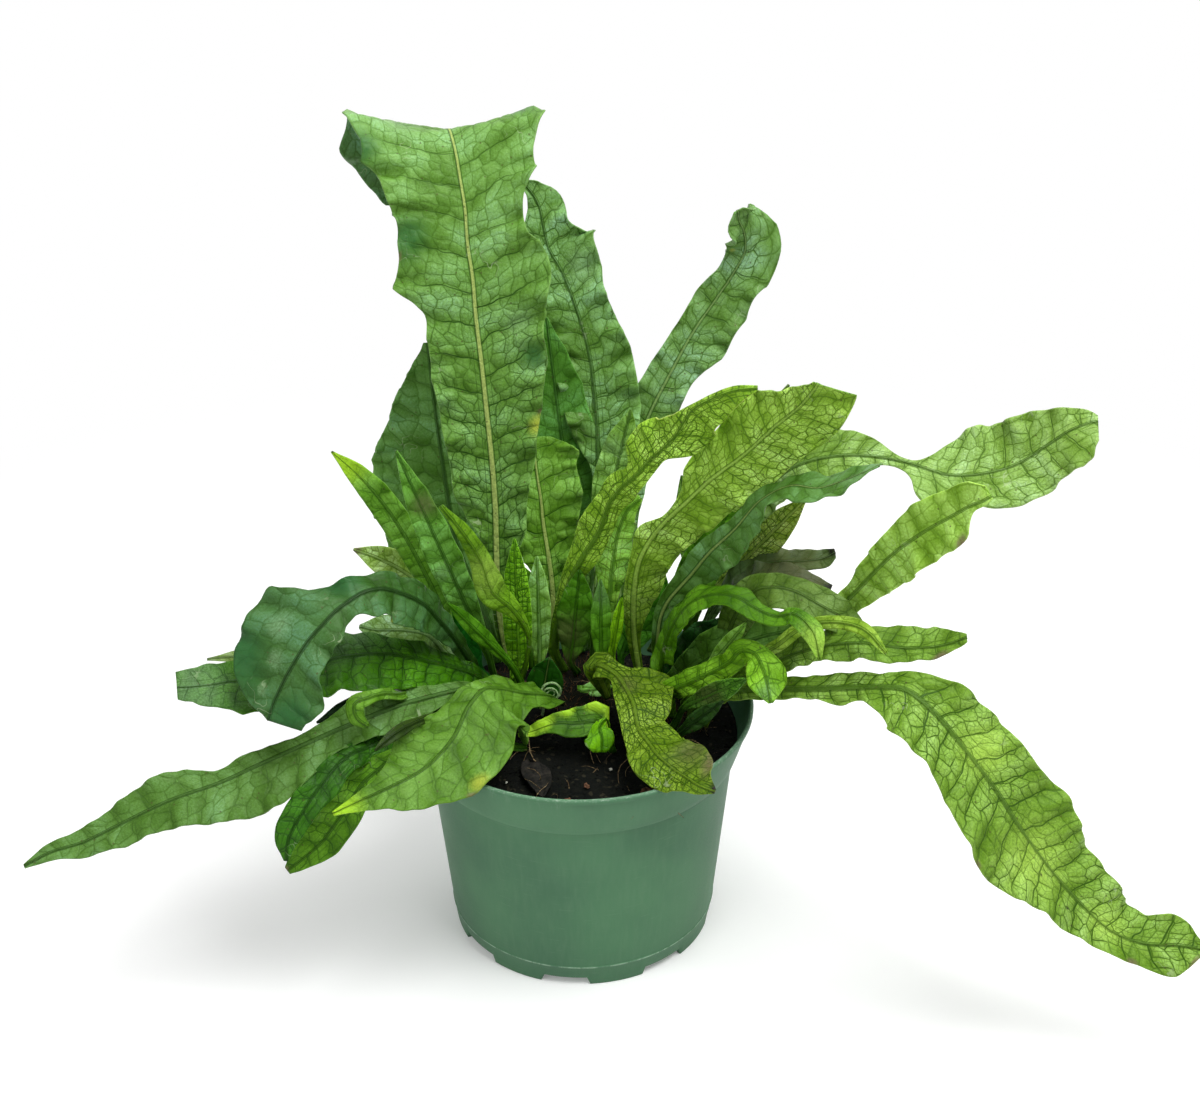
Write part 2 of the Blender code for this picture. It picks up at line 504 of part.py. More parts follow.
def smooth_rows(rows, count):
    """Rows of values spread evenly in length along the smooth curve through the given rows."""
    rows = np.asarray(rows, float)
    steps = np.linalg.norm(np.diff(rows[:, :3], axis=0), axis=1)
    station = np.concatenate([[0], np.cumsum(steps)])
    slope = np.diff(rows, axis=0) / steps[:, None]
    tangent = np.vstack([slope[:1], np.zeros((len(rows) - 2, rows.shape[1])), slope[-1:]])
    weight = (steps[1:] + steps[:-1])[:, None]
    tangent[1:-1] = (slope[:-1] * steps[1:, None] + slope[1:] * steps[:-1, None]) / weight
    fine = np.linspace(0, station[-1], 400)
    span = np.clip(np.searchsorted(station, fine, side="right") - 1, 0, len(steps) - 1)
    part = ((fine - station[span]) / steps[span])[:, None]
    length = steps[span][:, None]
    curve = ((2 * part**3 - 3 * part**2 + 1) * rows[span]
             + (part**3 - 2 * part**2 + part) * length * tangent[span]
             + (3 * part**2 - 2 * part**3) * rows[span + 1]
             + (part**3 - part**2) * length * tangent[span + 1])
    travelled = np.linalg.norm(np.diff(curve[:, :3], axis=0), axis=1)
    travelled = np.concatenate([[0], np.cumsum(travelled)])
    even = np.linspace(0, travelled[-1], count)
    return np.stack([np.interp(even, travelled, column) for column in curve.T], axis=1)


def unit(vectors):
    return vectors / np.linalg.norm(vectors, axis=1, keepdims=True)


def blend_rows(rows, count):
    """Directions spread evenly from the first row to the last."""
    rows = np.asarray(rows, float)
    place = np.linspace(0, len(rows) - 1, count)
    return np.stack([np.interp(place, np.arange(len(rows)), column) for column in rows.T], axis=1)


def blade_grid(ribs, faces, cup, columns):
    """Rings of points across a blade, from its foot to its tip."""
    rough = np.asarray(ribs, float)
    length = np.linalg.norm(np.diff(rough[:, :3], axis=0), axis=1).sum()
    rings = max(6, round(length / RING_SPACING)) + 1
    rows = smooth_rows(ribs, rings)
    middle = rows[:, :3]
    along = unit(np.gradient(middle, axis=0))
    along[0] = (0, 0, 1)
    facing = blend_rows(faces, rings)
    facing = unit(facing - (facing * along).sum(axis=1, keepdims=True) * along)
    across = np.cross(along, facing)
    rise = math.tan(math.radians(cup))
    grid = []
    for column in range(columns + 1):
        share = 2 * column / columns - 1
        width = np.clip(rows[:, 3 if share < 0 else 4], 0.5, None) * abs(share)
        lift = rise * width
        lift[0] = 0
        grid.append(middle + across * (math.copysign(1, share) * width)[:, None] + facing * lift[:, None])
    return np.stack(grid, axis=1)


def grid_faces(rings, columns):
    width = columns + 1
    faces = []
    for ring in range(rings - 1):
        for column in range(columns):
            corner = ring * width + column
            faces.append((corner, corner + 1, corner + width + 1, corner + width))
    return faces


def thickness_weights(rings, columns):
    """Full thickness along the stipe, less along the midrib, least at the margins."""
    weights = []
    for ring in range(rings):
        for column in range(columns + 1):
            share = abs(2 * column / columns - 1)
            blade = MIDRIB_SHARE + (MARGIN_SHARE - MIDRIB_SHARE) * share
            weights.append(1.0 if ring == 0 else blade)
    return weights


def make_blade(group, name, ribs, faces, cup, colour):
    widest = max(max(rib[3], rib[4]) for rib in ribs)
    columns = 4 if widest > WIDE_BLADE else 2
    grid = blade_grid(ribs, faces, cup, columns)
    rings = len(grid)
    mesh = mesh_from(name, grid.reshape(-1, 3), grid_faces(rings, columns))
    mesh.shade_smooth()
    blade = add_object(group, name, mesh, colour, 0.4)
    share = blade.vertex_groups.new(name="thickness")
    for index, weight in enumerate(thickness_weights(rings, columns)):
        share.add([index], weight, "REPLACE")
    shell = blade.modifiers.new("thickness", "SOLIDIFY")
    shell.thickness = MM * STIPE_THICKNESS
    shell.offset = 0
    shell.vertex_group = share.name
    shell.use_quality_normals = True


def make_fronds(group):
    for name, frond in FRONDS.items():
        x, y = frond["foot"]
        seat = SOIL_TOP if frond.get("seat") == "soil" else RHIZOME_TOP
        foot = (x, y, seat + FOOT_GAP, STIPE, STIPE)
        make_blade(group, name, [foot] + frond["ribs"], frond["faces"], frond["cup"], frond["colour"])


def make_fiddlehead(group):
    """A young frond, still coiled, on a short stalk."""
    x, y = FIDDLEHEAD_FOOT
    foot = SOIL_TOP + FOOT_GAP
    points = [(x, y, foot), (x, y, foot + FIDDLEHEAD_HEIGHT / 2)]
    turns = 20
    for number in range(turns + 1):
        share = number / turns
        angle = 2 * math.pi * FIDDLEHEAD_TURNS * share
        radius = FIDDLEHEAD_RADIUS * (1 - 0.55 * share)
        points.append((x + FIDDLEHEAD_RADIUS - radius * math.cos(angle), y,
                       foot + FIDDLEHEAD_HEIGHT + radius * math.sin(angle)))
    curve = bpy.data.curves.new("fiddlehead", "CURVE")
    curve.dimensions = "3D"
    curve.bevel_depth = MM * FIDDLEHEAD_TUBE
    curve.bevel_resolution = 1
    curve.use_fill_caps = True
    spline = curve.splines.new("POLY")
    spline.points.add(len(points) - 1)
    for point, place in zip(spline.points, points):
        point.co = (*(MM * value for value in place), 1)
    add_object(group, "fiddlehead", curve, (0.22, 0.42, 0.10), 0.5)


def make_dead_leaf(group):
    height = SOIL_TOP + GAP + STIPE_THICKNESS / 2
    ribs = [(x, y, height, left, right) for x, y, left, right in DEAD_LEAF]
    rows = smooth_rows(ribs, 5)
    points = []
    for x, y, z, left, right in rows:
        points += [(x - left, y, z + 1.0), (x, y, z), (x + right, y, z + 1.5)]
    mesh = mesh_from("dead_leaf", points, grid_faces(len(rows), 2))
    leaf = add_object(group, "dead_leaf", mesh, (0.05, 0.03, 0.02), 0.8)
    shell = leaf.modifiers.new("thickness", "SOLIDIFY")
    shell.thickness = MM * STIPE_THICKNESS / 2
    shell.offset = 0


def main():
    clear_scene()
    group = new_collection("potted_crocodile_fern")
    cutters = new_collection("cutters")
    make_pot(group, cutters)
    make_soil(group)
    make_rhizomes(group)
    make_fronds(group)
    make_fiddlehead(group)
    make_dead_leaf(group)


main()
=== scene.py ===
"""Dresses a potted crocodile fern: its pot, soil, rhizomes and fronds, in a plain pale studio."""

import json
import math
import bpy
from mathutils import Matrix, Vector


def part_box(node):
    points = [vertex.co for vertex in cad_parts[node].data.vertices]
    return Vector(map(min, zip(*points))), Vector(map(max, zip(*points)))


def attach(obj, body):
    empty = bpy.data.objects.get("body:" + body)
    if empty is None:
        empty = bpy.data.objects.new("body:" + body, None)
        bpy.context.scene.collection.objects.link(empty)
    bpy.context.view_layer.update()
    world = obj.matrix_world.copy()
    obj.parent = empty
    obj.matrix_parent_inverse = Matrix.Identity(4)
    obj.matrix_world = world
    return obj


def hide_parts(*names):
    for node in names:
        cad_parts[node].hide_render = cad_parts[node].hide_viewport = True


bl_info = {
    "name": "Potted Crocodile Fern",
    "version": (1, 0, 0),
    "blender": (4, 5, 0),
    "location": "View3D > Sidebar > Fern",
    "description": "Pot, soil, rhizomes, cobbled fronds and a plain studio for a potted fern",
    "category": "Object",
}

import bmesh
import bpy
import numpy as np
from bpy.props import FloatProperty, FloatVectorProperty, PointerProperty
from mathutils import Matrix, Vector, noise

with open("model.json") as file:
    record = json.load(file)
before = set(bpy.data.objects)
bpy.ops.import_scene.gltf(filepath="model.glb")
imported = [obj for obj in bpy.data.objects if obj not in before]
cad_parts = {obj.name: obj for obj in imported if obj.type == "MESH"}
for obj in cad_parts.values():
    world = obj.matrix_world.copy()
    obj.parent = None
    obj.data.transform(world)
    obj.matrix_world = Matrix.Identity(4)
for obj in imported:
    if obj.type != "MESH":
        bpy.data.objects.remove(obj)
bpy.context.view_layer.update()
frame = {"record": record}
MM = 0.001
BODY = "root"
SLOTS = {part["node"]: part["material_slot"] for part in frame["record"]["subparts"]}


def corners_mm(node):
    """A node's lowest and highest corners, in millimetres."""
    low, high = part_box(node)
    return np.array(low) / MM, np.array(high) / MM


# Sizes in millimetres. The lip's radius and the pot's height come from the pot's node; the band, the
# step and the foot are set in from the lip.
POT_LOW, POT_HIGH = corners_mm("pot")
LIP_RADIUS = (POT_HIGH[0] - POT_LOW[0]) / 2
POT_HEIGHT = POT_HIGH[2]
BAND_RADIUS = LIP_RADIUS - 7.4
BAND_HEIGHT = POT_HEIGHT - 23.9
BODY_RADIUS = BAND_RADIUS - 1.6
STEP_RADIUS = LIP_RADIUS - 17.2
STEP_HEIGHT = 11.5
FOOT_RADIUS = STEP_RADIUS - 1.4
WALL = 1.5
FLOOR_UNDER = 2.6
FLOOR_TOP = 4.4
PAD_RADIUS = 14.0
NOTCHES = 8
NOTCH_START = -97.5          # degrees
NOTCH_WIDTH = 24.0
NOTCH_SLOPE = 1.6            # run of a notch's slanted end
DRAIN_RING = 46.0
DRAIN_RADIUS = 5.0
SOIL_TOP = corners_mm("soil")[1][2]
RHIZOME_TOP = corners_mm("rhizome_centre")[1][2]
FOOT_GAP = 0.7
STIPE = 1.9                  # half width of a frond's foot

# The way that a blade's upper side faces
VIEW = (0, -0.88, 0.47)
BACK = (0, 0.88, -0.47)
LOW = (0, -0.65, 0.75)
HIGH = (0, -0.4, 0.9)
FLAT = (0, -0.3, 0.95)
SLOPE = (0, -0.5, 0.85)
STEEP = (0, -0.75, 0.65)
LEAN = (0, -0.6, 0.8)
TILT = (0, -0.7, 0.7)

CUP = 5                      # degrees, where a frond names no cupping of its own
PLAIN_RIBS = 6
PATTERN_GAP = 400            # along the veins' pattern, from one frond's foot to the next one's
SMOOTH_SAMPLES = 2000

# Each frond's shape: its foot; its ribs' x, y, z and half widths to the left and right, or a plain
# blade's root, tip, half width and upward bow; the way its upper side faces from foot to tip; and the
# cupping of its blade in degrees.
FRONDS = {
    "frond_tall_front": dict(
        foot=(-32, 34), cup=7,
        ribs=[(-38, 35, 135, 3, 3), (-40, 38, 165, 4, 4), (-40, 41, 183, 6, 12), (-40, 44, 200, 16, 15),
              (-41, 48, 222, 20, 20), (-43, 53, 248, 22, 26), (-45, 58, 272, 24, 31),
              (-47, 63, 292, 24, 32), (-48, 67, 309, 35, 38), (-50, 72, 323, 34, 30),
              (-51, 77, 340, 31, 29), (-53, 83, 351, 38, 34), (-55, 90, 361, 40, 40),
              (-58, 100, 368, 44, 41), (-61, 115, 362, 48, 36), (-63, 120, 345, 48, 28),
              (-64, 120, 325, 28, 15)],
        faces=[VIEW, VIEW, VIEW, VIEW, VIEW, VIEW, VIEW, VIEW, (0, -0.8, 0.6), (0, 0.95, 0.3), (0, 1, 0.1)]),
    "frond_tall_back": dict(
        foot=(2, 62), cup=4,
        ribs=[(5, 67, 136, 4, 4), (8, 76, 175, 4, 4), (9, 83, 205, 4, 16), (9, 86, 219, 12, 20),
              (8, 90, 236, 16, 22), (5, 96, 260, 17, 20), (-1, 101, 281, 16, 16), (-8, 107, 298, 15, 20),
              (-14, 111, 308, 14, 23), (-16, 114, 316, 11, 14), (-19, 119, 328, 5, 11),
              (-26, 123, 337, 1, 2)],
        faces=[VIEW, VIEW, VIEW, VIEW, STEEP]),
    "frond_centre_upright": dict(
        foot=(-14, 50),
        ribs=[(-14, 53, 130, 4, 4), (-14, 57, 150, 6, 5), (-16, 62, 168, 14, 12), (-18, 66, 181, 17, 18),
              (-19, 69, 193, 13, 20), (-21, 74, 206, 5, 20), (-22, 79, 219, 3, 16), (-22, 80, 222, 2, 8)]),
    "frond_back_left": dict(
        foot=(-42, 50), cup=6,
        ribs=[(-46, 58, 128, 6, 6), (-54, 72, 141, 9, 8), (-63, 86, 161, 34, 16), (-67, 93, 186, 36, 16),
              (-70, 98, 212, 32, 16), (-72, 101, 233, 20, 12), (-74, 104, 262, 2, 2)],
        faces=[(-0.2, -0.85, 0.5), (-0.2, -0.85, 0.5)]),
    "frond_upright_right": dict(
        foot=(20, 58), cup=4,
        ribs=[(20, 73, 156, 6, 6), (27, 88, 205, 10, 10), (35, 95, 227, 12, 13), (45, 100, 246, 11, 12),
              (56, 106, 265, 9, 19), (68, 110, 282, 10, 17), (76, 112, 294, 8, 16), (81, 112, 305, 9, 18),
              (80, 109, 315, 11, 15), (77, 104, 323, 8, 11), (76, 101, 329, 2, 3)],
        faces=[VIEW, VIEW, VIEW, (0.1, -0.7, 0.7)]),
    "frond_folded_light": dict(
        foot=(-8, 42), cup=8,
        ribs=[(-13, 39, 125, 2, 3), (-9, 36, 148, 4, 4), (-4, 34, 168, 5, 5), (3, 30, 184, 7, 8),
              (9, 27, 196, 6, 11), (15, 21, 216, 7, 7), (20, 17, 225, 8, 8), (26, 12, 233, 6, 6),
              (32, 9, 242, 5, 14), (37, 5, 249, 5, 15), (43, 2, 257, 12, 12), (46, -2, 264, 15, 8),
              (50, -6, 273, 14, 3), (60, -13, 283, 10, 2), (69, -19, 289, 6, 2), (77, -24, 292, 1, 1)],
        faces=[BACK, BACK]),
    "frond_rounded": dict(foot=(6, 54), cup=4, root=(10, 55, 180), tip=(25, 60, 245), wide=10),
    "frond_broad_light": dict(
        foot=(29, 37),
        ribs=[(26, 34, 139, 4, 4), (26, 29, 162, 12, 5), (29, 23, 185, 15, 5), (34, 20, 197, 15, 8),
              (40, 15, 208, 16, 3), (51, 7, 224, 17, 6), (58, 1, 235, 18, 13), (74, -9, 254, 18, 17),
              (86, -19, 272, 18, 18), (95, -26, 284, 19, 10), (100, -33, 295, 18, 4),
              (101, -36, 299, 17, 2)],
        faces=[BACK, BACK]),
    "frond_dark_blue": dict(
        foot=(37, 27), cup=4,
        ribs=[(41, 14, 165, 4, 4), (52, 6, 185, 6, 8), (60, -2, 201, 7, 12), (70, -11, 217, 5, 12),
              (82, -21, 238, 6, 10), (94, -31, 249, 7, 8), (103, -38, 251, 9, 11), (112, -44, 257, 7, 9),
              (120, -50, 264, 6, 7), (126, -55, 270, 2, 2)],
        faces=[VIEW, VIEW, SLOPE, (0, -0.2, 1)]),
    "frond_far_arch": dict(
        foot=(48, 47), cup=4,
        ribs=[(65, 34, 176, 5, 5), (82, 23, 214, 10, 10), (99, 13, 237, 14, 12), (118, 5, 246, 14, 10),
              (134, -1, 248, 7, 4), (145, -4, 247, 2, 4), (151, -6, 246, 3, 8), (157, -9, 245, 11, 16),
              (163, -11, 244, 18, 15), (180, -16, 247, 23, 17), (192, -18, 252, 21, 20),
              (203, -21, 262, 18, 17), (214, -24, 272, 10, 17), (220, -25, 275, 6, 14),
              (223, -26, 276, 3, 9)],
        faces=[LEAN, LEAN]),
    "frond_right_strip": dict(
        foot=(57, 37), cup=12,
        ribs=[(75, 30, 134, 4, 4), (100, 10, 155, 5, 5), (117, -2, 168, 5, 6), (126, -12, 185, 5, 8),
              (134, -26, 206, 8, 12), (140, -36, 220, 9, 14), (150, -46, 235, 12, 13),
              (161, -55, 248, 11, 11), (164, -58, 252, 10, 4), (170, -63, 258, 8, 2),
              (172, -64, 260, 5, 1)],
        faces=[(-0.2, -0.8, 0.5), (-0.2, -0.8, 0.5)]),
    "frond_dark_tip_upper": dict(
        foot=(52, 42), cup=6,
        ribs=[(69, 36, 155, 4, 4), (83, 28, 176, 9, 9), (93, 23, 182, 8, 7), (106, 16, 186, 6, 6),
              (115, 12, 190, 5, 5), (119, 10, 194, 2, 3)],
        faces=[SLOPE, SLOPE]),
    "frond_dark_tip_lower": dict(
        foot=(58, 31), cup=6,
        ribs=[(71, 23, 155, 5, 5), (77, 16, 169, 15, 14), (86, 9, 179, 11, 9), (98, 3, 185, 7, 5),
              (116, -3, 181, 3, 2)],
        faces=[HIGH, HIGH]),
    "frond_right_grey_broad": dict(
        foot=(61, 23), cup=4,
        ribs=[(70, 6, 153, 6, 7), (75, -5, 174, 8, 10), (83, -13, 188, 8, 12), (94, -19, 191, 7, 11),
              (110, -25, 185, 9, 11), (120, -28, 180, 8, 8), (129, -30, 174, 2, 2)],
        faces=[STEEP, SLOPE]),
    "frond_right_low_long": dict(
        foot=(62, 8), cup=4,
        ribs=[(73, -10, 136, 5, 5), (90, -22, 154, 8, 7), (107, -34, 169, 9, 8), (125, -47, 179, 9, 9),
              (145, -55, 181, 11, 7), (159, -62, 187, 8, 5), (167, -66, 193, 2, 2)],
        faces=[SLOPE, SLOPE]),
    "frond_right_droop": dict(
        foot=(52, 2), cup=4,
        ribs=[(62, -18, 133, 4, 4), (80, -32, 146, 5, 5), (94, -40, 151, 6, 5), (106, -48, 156, 7, 5),
              (118, -55, 161, 7, 8), (124, -58, 163, 7, 6), (132, -64, 167, 7, 11), (142, -70, 169, 10, 19),
              (153, -78, 163, 17, 19), (165, -84, 150, 21, 20), (179, -91, 133, 22, 24),
              (193, -96, 112, 27, 28), (209, -101, 91, 22, 18), (223, -105, 76, 19, 13),
              (235, -108, 66, 16, 10), (246, -110, 62, 13, 10), (265, -114, 63, 11, 12),
              (273, -115, 62, 3, 3)],
        faces=[LEAN, LEAN, (0.25, -0.7, 0.65), (0.25, -0.7, 0.65)]),
    "frond_front_drape": dict(
        foot=(13, 17), cup=-5,
        ribs=[(9, 8, 135, 7, 7), (16, 1, 135, 6, 4), (22, -13, 134, 22, 7), (25, -25, 133, 18, 8),
              (27, -37, 128, 12, 8), (31, -46, 127, 14, 11), (36, -60, 128, 15, 13), (42, -68, 127, 17, 12),
              (48, -78, 129, 14, 7), (53, -85, 130, 8, 4), (59, -89, 130, 1, 1)],
        faces=[LOW, LEAN, TILT]),
    "frond_front_small_flat": dict(
        foot=(2, -14), seat="soil", cup=20,
        ribs=[(7, -18, 120, 7, 9), (3, -19, 120, 7, 8), (-3, -20, 120, 8, 7), (-10, -21, 121, 7, 5),
              (-16, -22, 120, 4, 4), (-22, -23, 118, 3, 3), (-29, -25, 117, 1, 1)],
        faces=[LEAN, LEAN]),
    "frond_front_small_round": dict(
        foot=(15, -24), seat="soil",
        ribs=[(11, -26, 126, 1, 1), (9, -28, 123, 4, 4), (10, -31, 120, 6, 8), (10, -33, 117, 5, 8),
              (10, -35, 114, 2, 4)]),
    "frond_front_left_big": dict(
        foot=(-10, 12), cup=-3,
        ribs=[(-16, -6, 127, 8, 8), (-28, -16, 135, 12, 7), (-37, -22, 141, 32, 8), (-44, -29, 145, 30, 7),
              (-50, -39, 143, 25, 10), (-57, -54, 135, 27, 18), (-69, -67, 128, 21, 20),
              (-83, -78, 126, 12, 9), (-96, -84, 123, 5, 4), (-108, -88, 119, 1, 1)],
        faces=[FLAT, LEAN]),
    "frond_left_long_low": dict(
        foot=(-36, -2),
        ribs=[(-54, -16, 137, 5, 4), (-65, -22, 138, 6, 5), (-82, -32, 139, 11, 8),
              (-100, -42, 137, 10, 10), (-115, -49, 134, 10, 6), (-128, -55, 131, 16, 5),
              (-145, -63, 127, 22, 7), (-158, -68, 123, 20, 6), (-182, -76, 118, 13, 13),
              (-206, -83, 109, 10, 8), (-220, -86, 103, 7, 6), (-234, -89, 100, 4, 4),
              (-246, -91, 94, 1, 1)],
        faces=[LOW, LOW]),
    "frond_left_low_a": dict(
        foot=(-37, -13), cup=4,
        ribs=[(-78, -34, 131, 5, 4), (-91, -44, 127, 6, 5), (-105, -56, 127, 7, 5), (-116, -69, 120, 8, 7),
              (-124, -78, 111, 6, 8), (-130, -83, 100, 4, 6), (-131, -86, 92, 1, 1)],
        faces=[(-0.1, -0.65, 0.75), VIEW]),
    "frond_left_low_b": dict(
        foot=(-26, -20), seat="soil", cup=4,
        ribs=[(-70, -46, 127, 4, 4), (-83, -53, 124, 5, 5), (-95, -57, 117, 6, 7), (-110, -62, 97, 9, 11),
              (-119, -66, 86, 8, 10), (-127, -69, 80, 5, 7), (-134, -71, 75, 2, 2)],
        faces=[(-0.1, -0.5, 0.85), VIEW]),
    "frond_left_dark_curl": dict(
        foot=(-46, 22), cup=-5,
        ribs=[(-58, 9, 147, 5, 5), (-65, 0, 164, 8, 8), (-72, -10, 180, 13, 10), (-80, -17, 189, 15, 10),
              (-88, -23, 195, 13, 9), (-96, -30, 197, 12, 10), (-103, -36, 195, 8, 13),
              (-108, -41, 193, 8, 20), (-112, -45, 190, 11, 30), (-118, -50, 185, 12, 32),
              (-123, -55, 179, 13, 31), (-127, -58, 173, 18, 30), (-131, -61, 166, 21, 26),
              (-134, -64, 160, 19, 16), (-136, -67, 154, 15, 1)],
        faces=[SLOPE, LEAN, (-0.2, -0.75, 0.65)]),
    "frond_left_mid_flat": dict(
        foot=(-42, 14), cup=8,
        ribs=[(-50, 7, 130, 6, 5), (-60, 3, 137, 10, 6), (-71, -3, 144, 14, 9), (-84, -10, 152, 19, 9),
              (-97, -17, 157, 22, 11), (-110, -23, 159, 20, 13), (-127, -30, 158, 17, 10),
              (-150, -38, 157, 19, 10), (-158, -40, 157, 16, 10), (-168, -43, 157, 11, 10),
              (-180, -46, 158, 6, 8)],
        faces=[SLOPE, SLOPE]),
    "frond_left_narrow_high": dict(
        foot=(-50, 35), cup=12, root=(-60, 30, 135), tip=(-110, 5, 250), wide=7, bow=16),
    "frond_left_narrow_mid": dict(foot=(-42, 28), cup=10, root=(-45, 20, 135), tip=(-80, -5, 255), wide=8),
    "frond_left_twisted": dict(
        foot=(-31, 20), cup=-14,
        ribs=[(-26, 9, 156, 2, 2), (-31, 7, 166, 4, 4), (-40, 3, 178, 7, 7), (-45, -1, 197, 5, 5),
              (-52, -6, 214, 3, 4), (-61, -10, 230, 1, 1)]),
    "frond_centre_bumpy": dict(foot=(-22, 26), cup=6, root=(-30, 25, 110), tip=(-30, 15, 200), wide=7),
    "frond_centre_grey": dict(foot=(-16, 34), cup=8, root=(-20, 30, 120), tip=(-20, 25, 185), wide=6),
    "frond_centre_brown": dict(foot=(-2, 40), cup=6, root=(-5, 35, 120), tip=(0, 30, 175), wide=9),
    "frond_centre_pale": dict(
        foot=(10, 46), cup=8,
        ribs=[(11, 41, 129, 3, 3), (14, 37, 154, 4, 4), (16, 33, 177, 8, 9), (19, 29, 197, 7, 8),
              (24, 24, 211, 4, 6), (29, 22, 217, 1, 2)],
        faces=[BACK, BACK]),
    "frond_centre_finger": dict(foot=(20, 28), cup=10, root=(15, 25, 130), tip=(20, 20, 165), wide=3),
    "frond_right_wavy": dict(
        foot=(42, 14), cup=-8,
        ribs=[(39, 4, 140, 6, 6), (44, -4, 165, 7, 7), (52, -11, 180, 11, 9), (61, -18, 188, 7, 7),
              (71, -26, 191, 8, 6), (80, -34, 189, 4, 6), (87, -40, 189, 4, 5), (95, -47, 194, 4, 5),
              (102, -55, 190, 5, 5), (105, -62, 180, 1, 1)],
        faces=[FLAT, HIGH, FLAT, TILT]),
    "frond_right_grey": dict(foot=(50, 11), cup=6, root=(60, -5, 140), tip=(75, -30, 180), wide=4),
    "frond_right_finger": dict(
        foot=(59, -8), cup=-5,
        ribs=[(72, -20, 151, 2, 2), (88, -33, 169, 3, 3), (102, -39, 184, 3, 3), (113, -45, 189, 3, 3),
              (125, -56, 191, 3, 3), (133, -65, 185, 1, 1)],
        faces=[HIGH, VIEW]),
    "frond_right_curl": dict(
        foot=(44, 0), cup=-8,
        ribs=[(41, -9, 129, 5, 5), (52, -20, 143, 6, 6), (68, -28, 158, 5, 6), (74, -34, 168, 5, 6),
              (79, -39, 169, 6, 5), (82, -45, 165, 9, 8), (84, -51, 159, 8, 7), (85, -56, 154, 1, 1)]),
    "frond_right_shade": dict(foot=(29, 21), cup=4, root=(35, 20, 110), tip=(75, 10, 160), wide=13),
    "frond_right_old_low": dict(foot=(44, -9), cup=20, root=(50, -20, 130), tip=(75, -45, 160), wide=5),
    "frond_right_low_small": dict(
        foot=(32, -18), seat="soil", cup=10, root=(45, -30, 120), tip=(65, -40, 145), wide=4),
    "frond_front_teal_small": dict(foot=(0, 27), cup=4, root=(0, 25, 110), tip=(15, 20, 115), wide=4),
    "frond_left_back_pointed": dict(
        foot=(-52, 43), cup=4, root=(-55, 40, 135), tip=(-105, 15, 195), wide=9, bow=8),
    "frond_left_back_grey": dict(
        foot=(-55, 32), cup=4,
        ribs=[(-60, 27, 122, 4, 4), (-67, 20, 137, 5, 9), (-73, 15, 148, 8, 13), (-84, 8, 155, 8, 9),
              (-97, 2, 159, 6, 6), (-103, 0, 162, 1, 1)],
        faces=[LEAN, LEAN]),
    "frond_left_tip_small": dict(
        foot=(-54, 10), cup=-10,
        ribs=[(-71, 0, 128, 4, 4), (-82, -30, 144, 3, 3), (-93, -50, 155, 3, 3), (-100, -55, 154, 4, 4),
              (-99, -57, 149, 4, 4), (-94, -57, 144, 1, 1)],
        faces=[HIGH, VIEW]),
    "frond_lit_underside": dict(
        foot=(38, 52), root=(60, 50, 145), tip=(105, 15, 220), wide=9, faces=[BACK, BACK]),
    "frond_left_far_tip": dict(
        foot=(-57, 24), root=(-85, 5, 135), tip=(-170, -25, 160), wide=6, bow=5, faces=[HIGH, HIGH]),
    "frond_left_shade": dict(
        foot=(-44, 4), root=(-65, -10, 130), tip=(-120, -40, 135), wide=6, bow=5, faces=[LOW, LOW]),
    "frond_filler_small_grey_tip": dict(
        foot=(10, 30), cup=10, root=(10, 25, 125), tip=(10, 20, 175), wide=5),
    "frond_filler_small_arch": dict(foot=(-15, 25), root=(-20, 15, 105), tip=(-15, 15, 135), wide=9),
    "frond_filler_gap_leaf": dict(foot=(35, 60), root=(55, 65, 150), tip=(50, 70, 205), wide=5),
    "frond_filler_behind_light": dict(foot=(35, 60), root=(65, 60, 180), tip=(100, 65, 255), wide=8),
    "frond_filler_dark_right": dict(foot=(35, 40), root=(40, 35, 130), tip=(75, 25, 220), wide=10),
    "frond_filler_centre_dark": dict(foot=(-25, 45), root=(-25, 45, 120), tip=(-30, 55, 165), wide=12),
    "frond_filler_centre_right": dict(foot=(20, 40), root=(20, 40, 120), tip=(40, 45, 170), wide=12),
    "frond_filler_left_dark": dict(foot=(-40, 30), root=(-50, 30, 120), tip=(-70, 30, 155), wide=9),
    "frond_filler_right_low": dict(foot=(40, 15), root=(40, 15, 115), tip=(105, -10, 165), wide=13, bow=8),
    "frond_filler_left_hook": dict(
        foot=(-25, 15), cup=-10, root=(-35, 5, 140), tip=(-60, -10, 180), wide=4),
    "frond_filler_behind_tall": dict(foot=(0, 60), cup=3, root=(0, 85, 130), tip=(-15, 90, 280), wide=17),
    "frond_filler_old_strip": dict(
        foot=(-35, -15), cup=3, root=(-70, -45, 140), tip=(-90, -70, 140), wide=3, bow=2),
}

